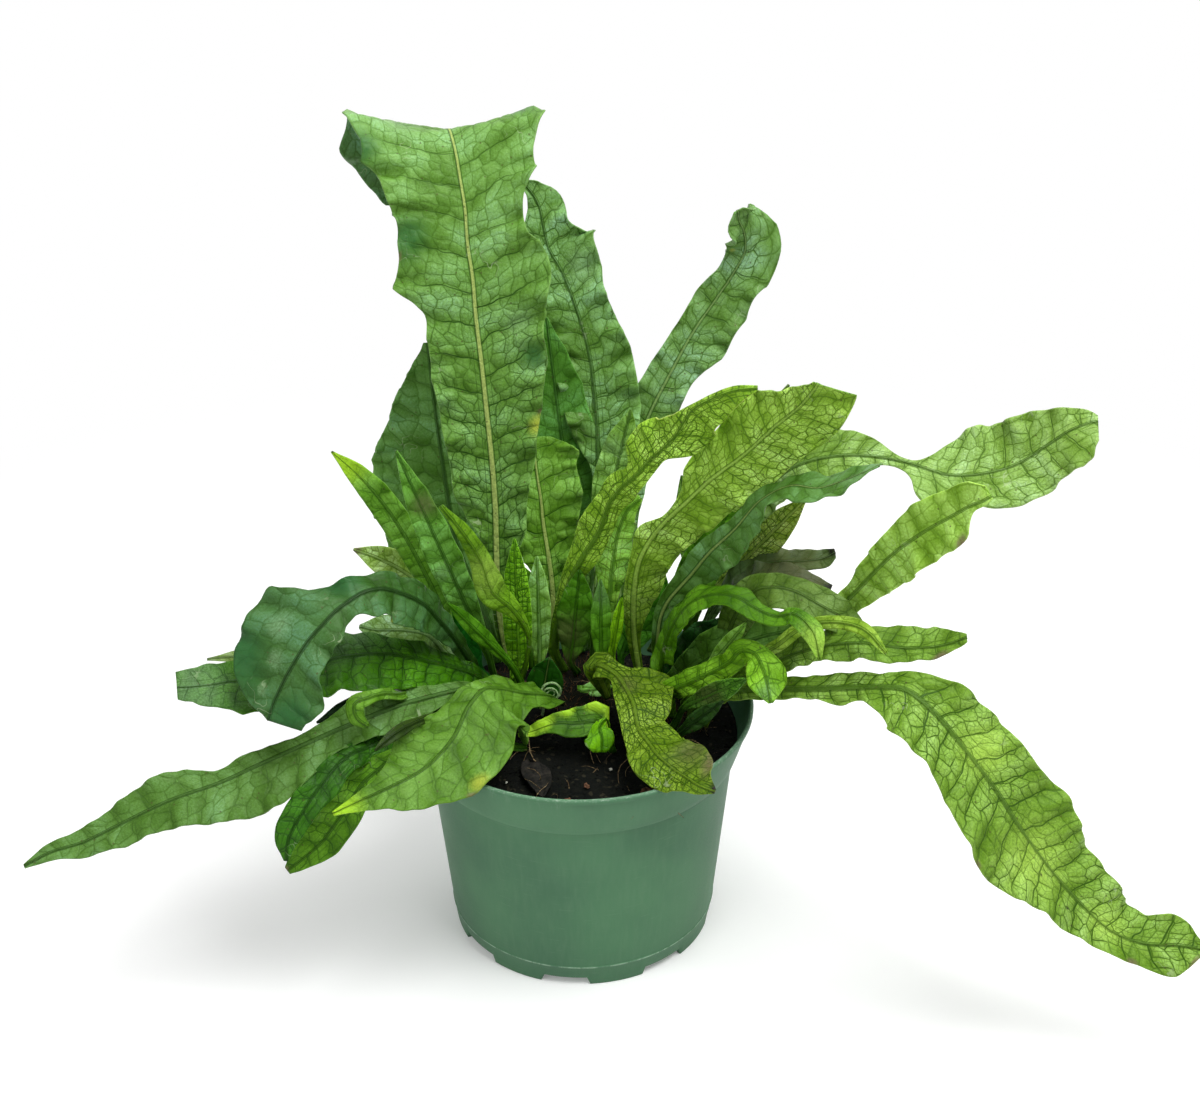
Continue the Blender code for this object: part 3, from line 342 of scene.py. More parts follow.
# How a frond's surface is built: its veins and cells in millimetres, and how far it puffs up.
# "rib" is the midrib's width, "light" how pale it is against the blade (negative for a dark one).
STYLES = {
    "cobbled": dict(cell=6.0, spacing=16, slope=0.36, puff=0.8, quilt=1.7, lobe=0.16,
                    net=1.2, side=1.5, rib=2.8, light=0.9, fade=0.5),
    "quilted": dict(cell=6.0, spacing=12.5, slope=0.45, puff=0.6, quilt=1.5, lobe=0.12,
                    net=1.0, side=1.9, rib=2.6, light=-0.75, fade=0),
    "netted": dict(cell=4.2, spacing=12.6, slope=0.5, puff=0.3, quilt=0.3, lobe=0.06,
                   net=1.6, side=0.7, rib=2.2, light=-0.3, fade=0),
    "ribbed": dict(cell=6.0, spacing=13, slope=0.42, puff=0.4, quilt=1.1, lobe=0.14,
                   net=1.0, side=1.0, rib=1.8, light=-0.7, fade=0.25),
    "soft": dict(cell=7, spacing=15, slope=0.5, puff=0.25, quilt=0.4, lobe=0.1,
                 net=0.7, side=0.8, rib=1.6, light=-0.35, fade=0.3),
    "beaded": dict(cell=4, spacing=6.5, slope=0.25, puff=1.0, quilt=0.4, lobe=0.05,
                   net=1.8, side=0.8, rib=1.2, light=-0.5, fade=0),
    "leathery": dict(cell=8, spacing=16, slope=0.3, puff=0.35, quilt=1.6, lobe=0.14,
                     net=0.6, side=0.8, rib=2.4, light=-0.9, fade=0.3),
}

# Each frond's style, its upper and under colours, the wave of its margins (height, waves) and its
# marks (kind, place along, place across from -1 to 1, radius).
LOOKS = {
    "frond_tall_front": dict(
        style="cobbled", fade=0.65, upper="659142", under="4f7a45", wave=(2.2, 7), marks=[
            ("yellow", 0.4, 1.0, 7), ("brown", 0.42, 0.97, 2), ("brown", 0.66, -1.0, 2),
            ("painted_sheen", 0.86, -0.5, 16), ("painted_sheen", 0.55, 0.6, 12), ("painted_shade", 0.68, -0.85, 14),
            ("painted_shade", 0.84, 0.85, 10), ("painted_shade", 0.82, -1.0, 12), ("painted_shade", 0.5, 0.8, 9)]),
    "frond_tall_back": dict(style="ribbed", upper="6d9a52", under="6b8f4a", wave=(3.5, 6), marks=[
        ("painted_sheen", 0.8, 0.5, 14)]),
    "frond_centre_upright": dict(style="cobbled", upper="72a43c", wave=(2.5, 5)),
    "frond_back_left": dict(style="leathery", upper="5c8c3f", wave=(3, 5)),
    "frond_upright_right": dict(style="ribbed", quilt=0.3, upper="719b5a", wave=(2, 6), light=0.3, marks=[
        ("yellow", 0.89, -0.7, 4), ("painted_shade", 0.42, 0.7, 14)]),
    "frond_folded_light": dict(style="netted", upper="c8e76f", under="a8d84a", wave=(1.5, 4), light=-0.9),
    "frond_rounded": dict(style="ribbed", upper="77a547", wave=(1.5, 4), marks=[
        ("painted_sheen", 0.85, -0.5, 10)]),
    "frond_broad_light": dict(style="netted", net=1.1, upper="88b44e", under="aad656",
        wave=(2, 5), light=0.15),
    "frond_dark_blue": dict(style="soft", net=0.35, upper="56823c", wave=(2, 4), light=0.5),
    "frond_far_arch": dict(style="ribbed", quilt=0.4, lobe=0.06, upper="88ad58", under="8fb55a",
        wave=(1.5, 6)),
    "frond_right_strip": dict(style="ribbed", net=0.5, upper="a2cf58", wave=(1.5, 4), marks=[
        ("brown", 0.48, 0.95, 5), ("brown", 0.9, 0.95, 4)]),
    "frond_dark_tip_upper": dict(style="soft", upper="5e7c46", wave=(1.5, 3), marks=[
        ("char", 1.0, -0.6, 5), ("dull", 0.8, 0, 34)]),
    "frond_dark_tip_lower": dict(style="soft", upper="4d6040", wave=(1.5, 3), marks=[
        ("char", 1.0, 0, 5), ("dull", 0.85, 0, 34)]),
    "frond_right_grey_broad": dict(style="soft", upper="5e7e30", wave=(1.5, 3)),
    "frond_right_low_long": dict(style="ribbed", upper="759d39", wave=(1.2, 4), marks=[
        ("brown", 0.92, 1.0, 5)]),
    "frond_right_droop": dict(style="quilted", upper="7ca43e", under="7fa544", wave=(2, 4), lobe=0.04, marks=[
        ("brown", 0.66, 1.0, 2.5), ("brown", 0.91, 0.95, 3), ("char", 0.74, 0.25, 1.2),
        ("char", 0.8, 0.42, 1.5), ("brown", 0.99, 1.0, 3), ("lit", 0.72, 0.2, 26), ("lit", 0.55, -0.3, 18),
        ("lit", 0.86, 0, 16)]),
    "frond_front_drape": dict(style="netted", upper="759626", wave=(1.2, 4), net=1.8, marks=[
        ("brown", 0.9, -1.0, 9), ("char", 1.0, -0.6, 4), ("dull", 0.8, -0.75, 16), ("dull", 0.35, 0, 10)]),
    "frond_front_small_flat": dict(style="soft", upper="3f6a12", wave=(1, 3), marks=[
        ("lime", 0.55, 1.0, 5), ("lime", 0.75, 0.6, 6), ("lime", 0.95, 0, 8), ("lime", 0.3, 1.0, 5)]),
    "frond_front_small_round": dict(style="soft", upper="62a002", wave=(0.8, 2), light=-0.9),
    "frond_front_left_big": dict(style="soft", upper="568126", wave=(1.5, 4), puff=0.35, net=0.5, marks=[
        ("lime", 1.0, 0, 16), ("yellow", 0.65, -0.9, 5), ("brown", 0.68, -1.0, 2.5)]),
    "frond_left_long_low": dict(style="soft", quilt=0.2, upper="567f37", wave=(1.8, 7), net=0.5),
    "frond_left_low_a": dict(style="ribbed", upper="346a0e", wave=(1.2, 4)),
    "frond_left_low_b": dict(style="ribbed", upper="5c921c", wave=(1.2, 4), marks=[
        ("brown", 1.0, 0.4, 2)]),
    "frond_left_dark_curl": dict(style="leathery", upper="3d6530", net=0.4, wave=(1.4, 5), lobe=0.03, marks=[
        ("yellow", 0.53, -1.0, 2), ("painted_shade", 0.9, 0.85, 18), ("painted_shade", 0.97, -0.5, 16),
        ("painted_shade", 0.64, 0.9, 12), ("painted_sheen", 0.8, 0.5, 9), ("painted_sheen", 0.87, 0.3, 7),
        ("painted_sheen", 0.94, 0.4, 6)]),
    "frond_left_mid_flat": dict(style="ribbed", upper="3d7309", wave=(1, 4), marks=[
        ("painted_sheen", 0.5, 0.9, 26), ("painted_sheen", 0.95, 0, 30)]),
    "frond_left_narrow_high": dict(style="soft", upper="69a032", wave=(1.2, 5), light=-0.5, marks=[
        ("lime", 0.97, 0, 20), ("char", 1.0, 1.0, 1.5)]),
    "frond_left_narrow_mid": dict(style="soft", upper="6aa53f", wave=(1.2, 5), light=-0.8, marks=[
        ("dull", 0.79, 0.3, 10), ("painted_sheen", 0.53, -0.6, 7)]),
    "frond_left_twisted": dict(style="soft", upper="66961a", wave=(1, 4), net=0.8, marks=[
        ("lit", 0.65, 0, 20)]),
    "frond_centre_bumpy": dict(style="beaded", upper="94dc30", wave=(0.6, 4)),
    "frond_centre_grey": dict(style="soft", upper="9bd26a", wave=(0.8, 3)),
    "frond_centre_brown": dict(style="soft", upper="4f8a18", wave=(1.2, 3), marks=[
        ("dull", 0.45, -0.5, 16), ("dull", 0.2, 0.3, 10)]),
    # Painted light: its under side far paler than its own green, standing in for light that doesn't reach the
    # middle of the plant.
    "frond_centre_pale": dict(style="ribbed", upper="93c14d", under="b0f064", wave=(1.2, 4), light=-0.8),
    "frond_centre_finger": dict(style="soft", upper="88c81a", wave=(0.4, 2)),
    "frond_right_wavy": dict(style="soft", upper="548814", wave=(1, 4), light=-0.6, marks=[
        ("lit", 0.95, 0, 14)]),
    "frond_right_grey": dict(style="soft", upper="94cc58", wave=(0.8, 3)),
    "frond_right_finger": dict(style="soft", upper="8cb23a", wave=(0.6, 3)),
    "frond_right_curl": dict(style="ribbed", upper="79b322", wave=(1, 3), marks=[
        ("painted_sheen", 0.95, 0.2, 8)]),
    "frond_right_shade": dict(style="ribbed", upper="1a4412", wave=(1, 3)),
    "frond_right_old_low": dict(style="netted", upper="5c962e", wave=(1.2, 4), marks=[
        ("dull", 0.6, 0, 16)]),
    "frond_right_low_small": dict(style="ribbed", upper="284a16", wave=(0.8, 3)),
    "frond_front_teal_small": dict(style="soft", upper="a8f06c", wave=(0.6, 2)),
    "frond_left_back_pointed": dict(style="netted", upper="b2d775", wave=(1.2, 3), net=0.6, marks=[
        ("brown", 1.0, -0.1, 5), ("dull", 0.45, 0, 26), ("brown", 0.3, 0.2, 22)]),
    "frond_left_back_grey": dict(style="netted", upper="8db470", wave=(1, 3), net=0.7),
    "frond_left_tip_small": dict(style="soft", upper="62922a", wave=(0.8, 3)),
    # Painted light: both sides far paler than the leaf's own green, standing in for light that doesn't reach
    # it under the other fronds.
    "frond_lit_underside": dict(style="netted", upper="d8f068", under="e0fc80", wave=(1, 3)),
    "frond_left_far_tip": dict(style="soft", upper="8ba56b", wave=(1, 3)),
    "frond_left_shade": dict(style="soft", upper="0a2e06", wave=(0.8, 4)),
    "frond_filler_small_grey_tip": dict(style="soft", upper="5c9a20", wave=(0.8, 3), marks=[
        ("painted_sheen", 0.9, 0, 16)]),
    "frond_filler_small_arch": dict(style="soft", upper="20560e", wave=(0.6, 3), light=0.3),
    "frond_filler_gap_leaf": dict(style="ribbed", upper="679338", wave=(0.8, 3)),
    "frond_filler_behind_light": dict(style="soft", upper="6f8d4c", wave=(0.8, 3)),
    "frond_filler_dark_right": dict(style="soft", upper="62a022", wave=(0.8, 3)),
    "frond_filler_centre_dark": dict(style="soft", upper="538a1c", wave=(0.8, 3)),
    "frond_filler_centre_right": dict(style="ribbed", upper="4c9020", wave=(0.8, 3)),
    "frond_filler_right_low": dict(style="soft", upper="5c8a34", wave=(0.8, 3)),
    "frond_filler_behind_tall": dict(style="soft", upper="569035", wave=(0.6, 3)),
    "frond_filler_old_strip": dict(style="soft", upper="2f4612", wave=(0.6, 3)),
    "frond_filler_left_hook": dict(style="soft", upper="4e8814", wave=(0.6, 3)),
    # Painted shade: a near-black leaf filling a gap deep among the fronds.
    "frond_filler_left_dark": dict(style="soft", upper="166014", wave=(0.8, 3)),
}

# What each kind of marking does to a blade's colour: how far it goes, and towards which colour. Some kinds
# are the leaf's own spots and burns; three are painted light: a painted highlight, a painted sheen and a
# painted shade.
MARKS = {
    "yellow": (0.5, "b9bb3e"),
    "lime": (0.85, "9ccb2a"),
    "lit": (0.45, "b5dc5a"),
    # A painted sheen: pale grey-green highlight patches laid over the blade.
    "painted_sheen": (0.35, "86a87c"),
    # A painted shade: dark green patches where the blade lies in shade.
    "painted_shade": (0.6, "1f5527"),
    "dull": (0.55, "5a5a38"),
    "brown": (0.85, "6e6846"),
    "char": (1.0, "1d1917"),
}


def colour(code):
    """A hex sRGB colour as linear red, green, blue and alpha."""
    values = [int(code[i:i + 2], 16) / 255 for i in (0, 2, 4)]
    return tuple(v / 12.92 if v < 0.04045 else ((v + 0.055) / 1.055) ** 2.4 for v in values) + (1.0,)


def blended(first, second, share):
    return tuple(a + (b - a) * share for a, b in zip(first, second))


class Nodes:
    """Adds nodes to a shader or geometry tree, linking sockets and storing plain values."""

    def __init__(self, tree):
        self.tree = tree

    def put(self, socket, value):
        if isinstance(value, bpy.types.NodeSocket):
            self.tree.links.new(value, socket)
        else:
            socket.default_value = value

    def add(self, kind, inputs=None, **settings):
        node = self.tree.nodes.new(kind)
        for name, value in settings.items():
            setattr(node, name, value)
        for key, value in (inputs or {}).items():
            self.put(node.inputs[key], value)
        return node

    def math(self, operation, *values):
        return self.add("ShaderNodeMath", dict(enumerate(values)), operation=operation).outputs[0]

    def times(self, first, *others):
        for other in others:
            first = self.math("MULTIPLY", first, other)
        return first

    def vector(self, x, y, z=0.0):
        return self.add("ShaderNodeCombineXYZ", {0: x, 1: y, 2: z}).outputs[0]

    def split(self, vector):
        return self.add("ShaderNodeSeparateXYZ", {0: vector}).outputs[:3]

    def ramp(self, value, low, high, start=0.0, end=1.0):
        """The value's smooth step from start, at low, to end, at high."""
        inputs = {0: value, 1: low, 2: high, 3: start, 4: end}
        return self.add("ShaderNodeMapRange", inputs, interpolation_type="SMOOTHSTEP").outputs[0]

    def noise(self, vector, scale, detail=2.0, roughness=0.5):
        inputs = {"Vector": vector, "Scale": scale, "Detail": detail, "Roughness": roughness}
        return self.add("ShaderNodeTexNoise", inputs)

    def edges(self, vector, scale, randomness):
        """Distance to the nearest border between random cells."""
        inputs = {"Vector": vector, "Scale": scale, "Randomness": randomness}
        node = self.add("ShaderNodeTexVoronoi", inputs, voronoi_dimensions="2D", feature="DISTANCE_TO_EDGE")
        return node.outputs["Distance"]

    def mix(self, share, first, second, blend="MIX"):
        node = self.add("ShaderNodeMix", {0: share, 6: first, 7: second}, data_type="RGBA", blend_type=blend)
        return node.outputs[2]

    def bump(self, height, distance, strength=1.0):
        inputs = {"Height": height, "Distance": distance, "Strength": strength}
        return self.add("ShaderNodeBump", inputs).outputs[0]


def distance_out(n, x, y):
    return n.math("SQRT", n.math("ADD", n.times(x, x), n.times(y, y)))


def seen_directly(n):
    """1 for camera, glossy and transmission rays, and 0 for all others."""
    seen = n.add("ShaderNodeLightPath").outputs
    glossy = n.math("MAXIMUM", seen["Is Glossy Ray"], seen["Is Transmission Ray"])
    return n.math("MAXIMUM", seen["Is Camera Ray"], glossy)


def object_place(n):
    """Object coordinates in millimetres."""
    place = n.add("ShaderNodeTexCoord").outputs["Object"]
    return n.add("ShaderNodeVectorMath", {0: place, "Scale": 1 / MM}, operation="SCALE").outputs[0]


def new_material(name, **sockets):
    """A Principled material, with plain values set on the shader's own sockets."""
    material = bpy.data.materials.new(name)
    material.use_nodes = True
    shader = material.node_tree.nodes["Principled BSDF"]
    for socket, value in sockets.items():
        shader.inputs[socket.replace("_", " ")].default_value = value
    return material, Nodes(material.node_tree), shader


def dress(n, shader, base, rough, height, depth):
    """Links a material's colour, roughness and bump, whose depth is in millimetres."""
    n.put(shader.inputs["Base Color"], base)
    n.put(shader.inputs["Roughness"], rough)
    n.put(shader.inputs["Normal"], n.bump(height, depth * MM))


# ---------------------------------------------------------------- leaf surface

PATTERN_INPUTS = ("Spacing", "Slope", "Cell")
NET_RANDOMNESS = 0.7
NET_SHIFT = 0.5 + NET_RANDOMNESS / 2     # puts a row of cell borders on each lateral vein


def vein_pattern(n, across, along, spacing, slope, cell):
    """Millimetre distances to the lateral veins, the netted veins and the finest ones."""
    drift_x, drift_y, _ = n.split(n.noise(n.vector(across, along), 0.06, 2.0).outputs["Color"])
    x = n.math("MULTIPLY_ADD", n.math("SUBTRACT", drift_x, 0.5), 9.0, across)
    y = n.math("MULTIPLY_ADD", n.math("SUBTRACT", drift_y, 0.5), 9.0, along)
    climb = n.math("SUBTRACT", y, n.times(slope, n.math("ABSOLUTE", x)))
    row = n.math("MULTIPLY_ADD", n.math("SIGN", across), 0.23, n.math("DIVIDE", climb, spacing))
    lateral = n.times(n.math("PINGPONG", row, 0.5), spacing)
    rows = n.math("ROUND", n.math("DIVIDE", spacing, cell))
    net = n.vector(n.math("DIVIDE", x, cell), n.math("MULTIPLY_ADD", row, rows, NET_SHIFT))
    netted = n.times(n.edges(net, 1.0, NET_RANDOMNESS), cell)
    finest = n.times(n.edges(net, 2.6, 0.95), n.math("DIVIDE", cell, 2.6))
    return lateral, netted, finest, net


def new_sockets(tree, names, kind="NodeSocketFloat", way="INPUT"):
    for name in names:
        tree.interface.new_socket(name=name, in_out=way, socket_type=kind)


def finish_tree(n, geometry, material):
    """Ends a geometry tree: instances made real, then given their material."""
    real = n.add("GeometryNodeRealizeInstances", {0: geometry})
    dressed = n.add("GeometryNodeSetMaterial", {"Geometry": real.outputs[0], "Material": material})
    n.add("NodeGroupOutput", {0: dressed.outputs[0]})


def leaf_relief_tree():
    """Puffs a blade's sheet up between its veins and sinks its midrib, then gives it its material."""
    tree = bpy.data.node_groups.new("leaf_relief", "GeometryNodeTree")
    new_sockets(tree, ["Geometry"], "NodeSocketGeometry")
    new_sockets(tree, PATTERN_INPUTS + ("Puff", "Quilt", "Rib width"))
    new_sockets(tree, ["Leaf material"], "NodeSocketMaterial")
    new_sockets(tree, ["Geometry"], "NodeSocketGeometry", "OUTPUT")
    n = Nodes(tree)
    given = n.add("NodeGroupInput").outputs
    flat = n.add("GeometryNodeInputNamedAttribute", {"Name": "flat"}, data_type="FLOAT_VECTOR").outputs[0]
    across, along, share = n.split(flat)
    sheet = n.vector(across, along)
    lateral, netted, _, _ = vein_pattern(n, across, along, given["Spacing"], given["Slope"], given["Cell"])
    tall = n.add("GeometryNodeInputNamedAttribute", {"Name": "tall"}, data_type="FLOAT").outputs[0]
    swell = n.noise(sheet, 0.045, 1.0).outputs["Fac"]
    cells = n.math("SUBTRACT", n.ramp(netted, 0.0, 2.0), 0.6)
    puffed = n.times(n.ramp(tall, 0.35, 0.8, 1.0, 0.4), n.ramp(share, 1.02, 0.86))
    quilts = n.math("SUBTRACT", n.ramp(lateral, 0.0, 6.5), 0.55)
    outward = n.times(n.ramp(share, 0.0, 0.85, 0.3, 1.0), n.ramp(swell, 0.3, 0.7, 0.35, 1.5))
    rise = n.math("ADD", n.times(cells, puffed, given["Puff"]),
                  n.times(quilts, outward, given["Quilt"]))
    away = n.ramp(n.math("DIVIDE", n.math("ABSOLUTE", across), given["Rib width"]), 0.45, 1.8)
    rise = n.times(rise, away)
    normal = n.add("GeometryNodeInputNormal").outputs[0]
    offset = n.add("ShaderNodeVectorMath", {0: normal, "Scale": n.times(rise, MM)}, operation="SCALE")
    moved = n.add("GeometryNodeSetPosition", {"Geometry": given["Geometry"], "Offset": offset.outputs[0]})
    finish_tree(n, moved.outputs[0], given["Leaf material"])
    return tree


def leaf_colour_group():
    """A blade's colour, roughness and fine height from its flat coordinates, share and marks."""
    tree = bpy.data.node_groups.new("leaf_colour", "ShaderNodeTree")
    new_sockets(tree, PATTERN_INPUTS + ("Net", "Fade", "Side veins", "Rib width"))
    new_sockets(tree, ("Blade", "Pale", "Vein", "Rib"), "NodeSocketColor")
    new_sockets(tree, ["Color"], "NodeSocketColor", "OUTPUT")
    new_sockets(tree, ["Roughness", "Height"], way="OUTPUT")
    n = Nodes(tree)
    given = n.add("NodeGroupInput").outputs
    across, along, share = n.split(n.add("ShaderNodeAttribute", attribute_name="flat").outputs["Vector"])
    sheet = n.vector(across, along)
    tall = n.add("ShaderNodeAttribute", attribute_name="tall").outputs["Fac"]
    mark = n.add("ShaderNodeAttribute", attribute_name="mark")
    lateral, netted, finest, net = vein_pattern(
        n, across, along, given["Spacing"], given["Slope"], given["Cell"])

    broad = n.noise(sheet, 0.035, 3.0).outputs["Fac"]
    grain = n.noise(sheet, 0.9, 4.0, 0.65).outputs["Fac"]
    tone = n.add("ShaderNodeTexVoronoi", {"Vector": net, "Scale": 1.0, "Randomness": NET_RANDOMNESS},
                 voronoi_dimensions="2D").outputs["Color"]
    cell_tone = n.split(tone)[0]

    width = n.times(given["Rib width"], n.ramp(tall, 0.0, 1.0, 0.55, 0.18))
    reach = n.math("SUBTRACT", n.math("ABSOLUTE", across), width)
    inside = n.ramp(reach, -0.3, 0.1, 1.0, 0.0)
    flank = n.ramp(n.math("ABSOLUTE", n.math("SUBTRACT", reach, 0.28)), 0.05, 0.38, 1.0, 0.0)
    second = n.ramp(n.math("ABSOLUTE", n.math("SUBTRACT", reach, 2.4)), 0.05, 0.28, 0.6, 0.0)

    seen = n.ramp(broad, 0.35, 0.6, 0.5, 1.0)
    wander = n.ramp(n.noise(sheet, 0.11, 2.0).outputs["Fac"], 0.3, 0.6, 0.6, 1.0)
    long_vein = n.ramp(lateral, 0.12, 0.46, given["Side veins"], 0.0)
    long_vein = n.times(long_vein, n.ramp(share, 0.5, 0.95, 1.0, 0.3))
    net_vein = n.times(n.ramp(netted, 0.08, 0.28, 1.0, 0.0), n.times(seen, wander))
    fine_vein = n.times(n.ramp(finest, 0.02, 0.22, 0.5, 0.0), seen)
    veins = n.math("MAXIMUM", n.math("MAXIMUM", long_vein, net_vein), n.math("MAXIMUM", fine_vein, second))
    fading = n.ramp(tall, 0.3, 0.75, 1.0, n.math("SUBTRACT", 1.0, given["Fade"]))
    veins = n.math("MINIMUM", n.times(veins, given["Net"], fading), 1.0)

    dome = n.ramp(netted, 0.1, 2.2)
    # Painted shade and highlight: darker along the lateral veins, lighter on the puffed panels between them.
    painted_panel_shade = n.ramp(lateral, 0.0, 6.0)
    shade = n.times(n.ramp(cell_tone, 0.0, 1.0, 0.88, 1.1), n.ramp(netted, 0.0, 0.8, 0.84, 1.03))
    shade = n.times(shade, n.ramp(broad, 0.32, 0.68, 0.68, 1.22))
    shade = n.times(shade, n.ramp(grain, 0.25, 0.75, 0.8, 1.2))
    shade = n.times(shade, n.ramp(painted_panel_shade, 0.0, 1.0, 0.82, 1.07))
    # Painted shade: darker towards the frond's foot, where the fronds crowd together.
    shade = n.times(shade, n.ramp(tall, 0.0, 0.3, 0.35, 1.0))
    blade = n.mix(1.0, given["Blade"], n.vector(
        n.math("POWER", shade, 1.25), shade, n.math("POWER", shade, 2.6)), "MULTIPLY")
    # Cell centres paler: partly the leaf's own yellow-green, partly a painted sheen on the puffed domes.
    pale_cells_and_painted_sheen = n.times(dome, n.ramp(cell_tone, 0.35, 1.0, 0.0, 0.28))
    blade = n.mix(pale_cells_and_painted_sheen, blade, given["Pale"])
    blade = n.mix(veins, blade, given["Vein"])
    blade = n.mix(n.times(flank, 0.8), blade, given["Vein"])
    rib = n.mix(n.ramp(grain, 0.3, 0.7, 0.0, 0.35), given["Rib"], given["Vein"])
    blade = n.mix(inside, blade, rib)
    blade = n.mix(n.ramp(share, 0.965, 1.0, 0.0, 0.45), blade, given["Pale"])

    loops = n.noise(sheet, 0.13, 1.0).outputs["Fac"]
    thread = n.ramp(n.math("ABSOLUTE", n.math("SUBTRACT", loops, 0.5)), 0.0, 0.012, 1.0, 0.0)
    where = n.ramp(n.noise(n.vector(along, across), 0.04, 2.0).outputs["Fac"], 0.6, 0.68)
    blade = n.mix(n.times(thread, where, 0.4), blade, (0.42, 0.5, 0.3, 1.0))
    scattered = {"Vector": sheet, "Scale": 0.075, "Randomness": 1.0}
    spots = n.add("ShaderNodeTexVoronoi", scattered, voronoi_dimensions="2D").outputs["Distance"]
    blade = n.mix(n.ramp(spots, 0.02, 0.04, 0.7, 0.0), blade, (0.06, 0.055, 0.015, 1.0))

    # Markings: the leaf's own spots and burns, and painted sheen, highlight and shade.
    patchy = n.math("MULTIPLY_ADD", n.math("SUBTRACT", grain, 0.5), 0.45, mark.outputs["Alpha"])
    amount = n.times(n.ramp(patchy, 0.08, 0.85), n.ramp(mark.outputs["Alpha"], 0.0, 0.12))
    kept = n.times(n.math("MAXIMUM", veins, inside), 0.75)
    amount = n.times(amount, n.math("SUBTRACT", 1.0, kept))
    blade = n.mix(amount, blade, mark.outputs["Color"])

    height = n.math("SUBTRACT", n.times(dome, 0.25), n.times(veins, 0.4))
    height = n.math("ADD", height, n.times(grain, 0.35))
    height = n.math("ADD", height, n.times(inside, 0.6))
    rough = n.math("ADD", n.ramp(grain, 0.2, 0.8, 0.28, 0.44), n.times(veins, 0.08))
    n.add("NodeGroupOutput", {"Color": blade, "Roughness": rough, "Height": height})
    return tree


def leaf_material(name, style, blade):
    """One side of a frond, built round the shared leaf_colour group."""
    material, n, shader = new_material(name, Specular_IOR_Level=0.13)
    green = colour(blade)
    pale = tuple(min(1, v * f) for v, f in zip(green, (1.5, 1.35, 1.5, 1.0)))
    vein = tuple(v * f for v, f in zip(green, (0.18, 0.27, 0.08, 1.0)))
    light = style["light"]
    if light > 0:
        rib = blended(green, (0.42, 0.52, 0.14, 1.0), light)
    else:
        rib = blended(green, vein, -light)
    group = n.add("ShaderNodeGroup", node_tree=bpy.data.node_groups["leaf_colour"])
    values = {"Spacing": style["spacing"], "Slope": style["slope"], "Cell": style["cell"],
              "Net": style["net"], "Fade": style["fade"], "Side veins": style["side"],
              "Rib width": style["rib"], "Blade": green, "Pale": pale, "Vein": vein, "Rib": rib}
    for key, value in values.items():
        n.put(group.inputs[key], value)
    made = group.outputs
    dress(n, shader, made["Color"], made["Roughness"], made["Height"], 0.8)
    return material


# ---------------------------------------------------------------- frond shapes

def smooth_rows(rows, count):
    """Rows of values spread evenly in length along the smooth curve through the given rows."""
    rows = np.asarray(rows, float)
    steps = np.linalg.norm(np.diff(rows[:, :3], axis=0), axis=1)
    station = np.concatenate([[0], np.cumsum(steps)])
    slope = np.diff(rows, axis=0) / steps[:, None]
    tangent = np.vstack([slope[:1], np.zeros((len(rows) - 2, rows.shape[1])), slope[-1:]])
    weight = (steps[1:] + steps[:-1])[:, None]
    tangent[1:-1] = (slope[:-1] * steps[1:, None] + slope[1:] * steps[:-1, None]) / weight
    fine = np.linspace(0, station[-1], SMOOTH_SAMPLES)
    span = np.clip(np.searchsorted(station, fine, side="right") - 1, 0, len(steps) - 1)
    part = ((fine - station[span]) / steps[span])[:, None]
    length = steps[span][:, None]
    curve = ((2 * part**3 - 3 * part**2 + 1) * rows[span]
             + (part**3 - 2 * part**2 + part) * length * tangent[span]
             + (3 * part**2 - 2 * part**3) * rows[span + 1]
             + (part**3 - part**2) * length * tangent[span + 1])
    travelled = np.linalg.norm(np.diff(curve[:, :3], axis=0), axis=1)
    travelled = np.concatenate([[0], np.cumsum(travelled)])
    even = np.linspace(0, travelled[-1], count)
    return np.stack([np.interp(even, travelled, column) for column in curve.T], axis=1), even


def unit(vectors):
    return vectors / np.linalg.norm(vectors, axis=1, keepdims=True)


def blend_rows(rows, count):
    """Directions spread evenly from the first row to the last."""
    rows = np.asarray(rows, float)
    place = np.linspace(0, len(rows) - 1, count)
    return np.stack([np.interp(place, np.arange(len(rows)), column) for column in rows.T], axis=1)


def plain_ribs(frond):
    """The ribs of a plain blade, which swells from its root, bows upwards and ends in a point."""
    ribs = []
    for share in np.linspace(0, 1, PLAIN_RIBS):
        x, y, z = np.asarray(frond["root"]) * (1 - share) + np.asarray(frond["tip"]) * share
        swell = max(math.sin(math.pi * share), 0)
        half = max(frond["wide"] * swell ** 0.7, STIPE * (1 - share) + 0.5 * share)
        ribs.append((x, y, z + frond.get("bow", 0) * swell, half, half))
    return ribs


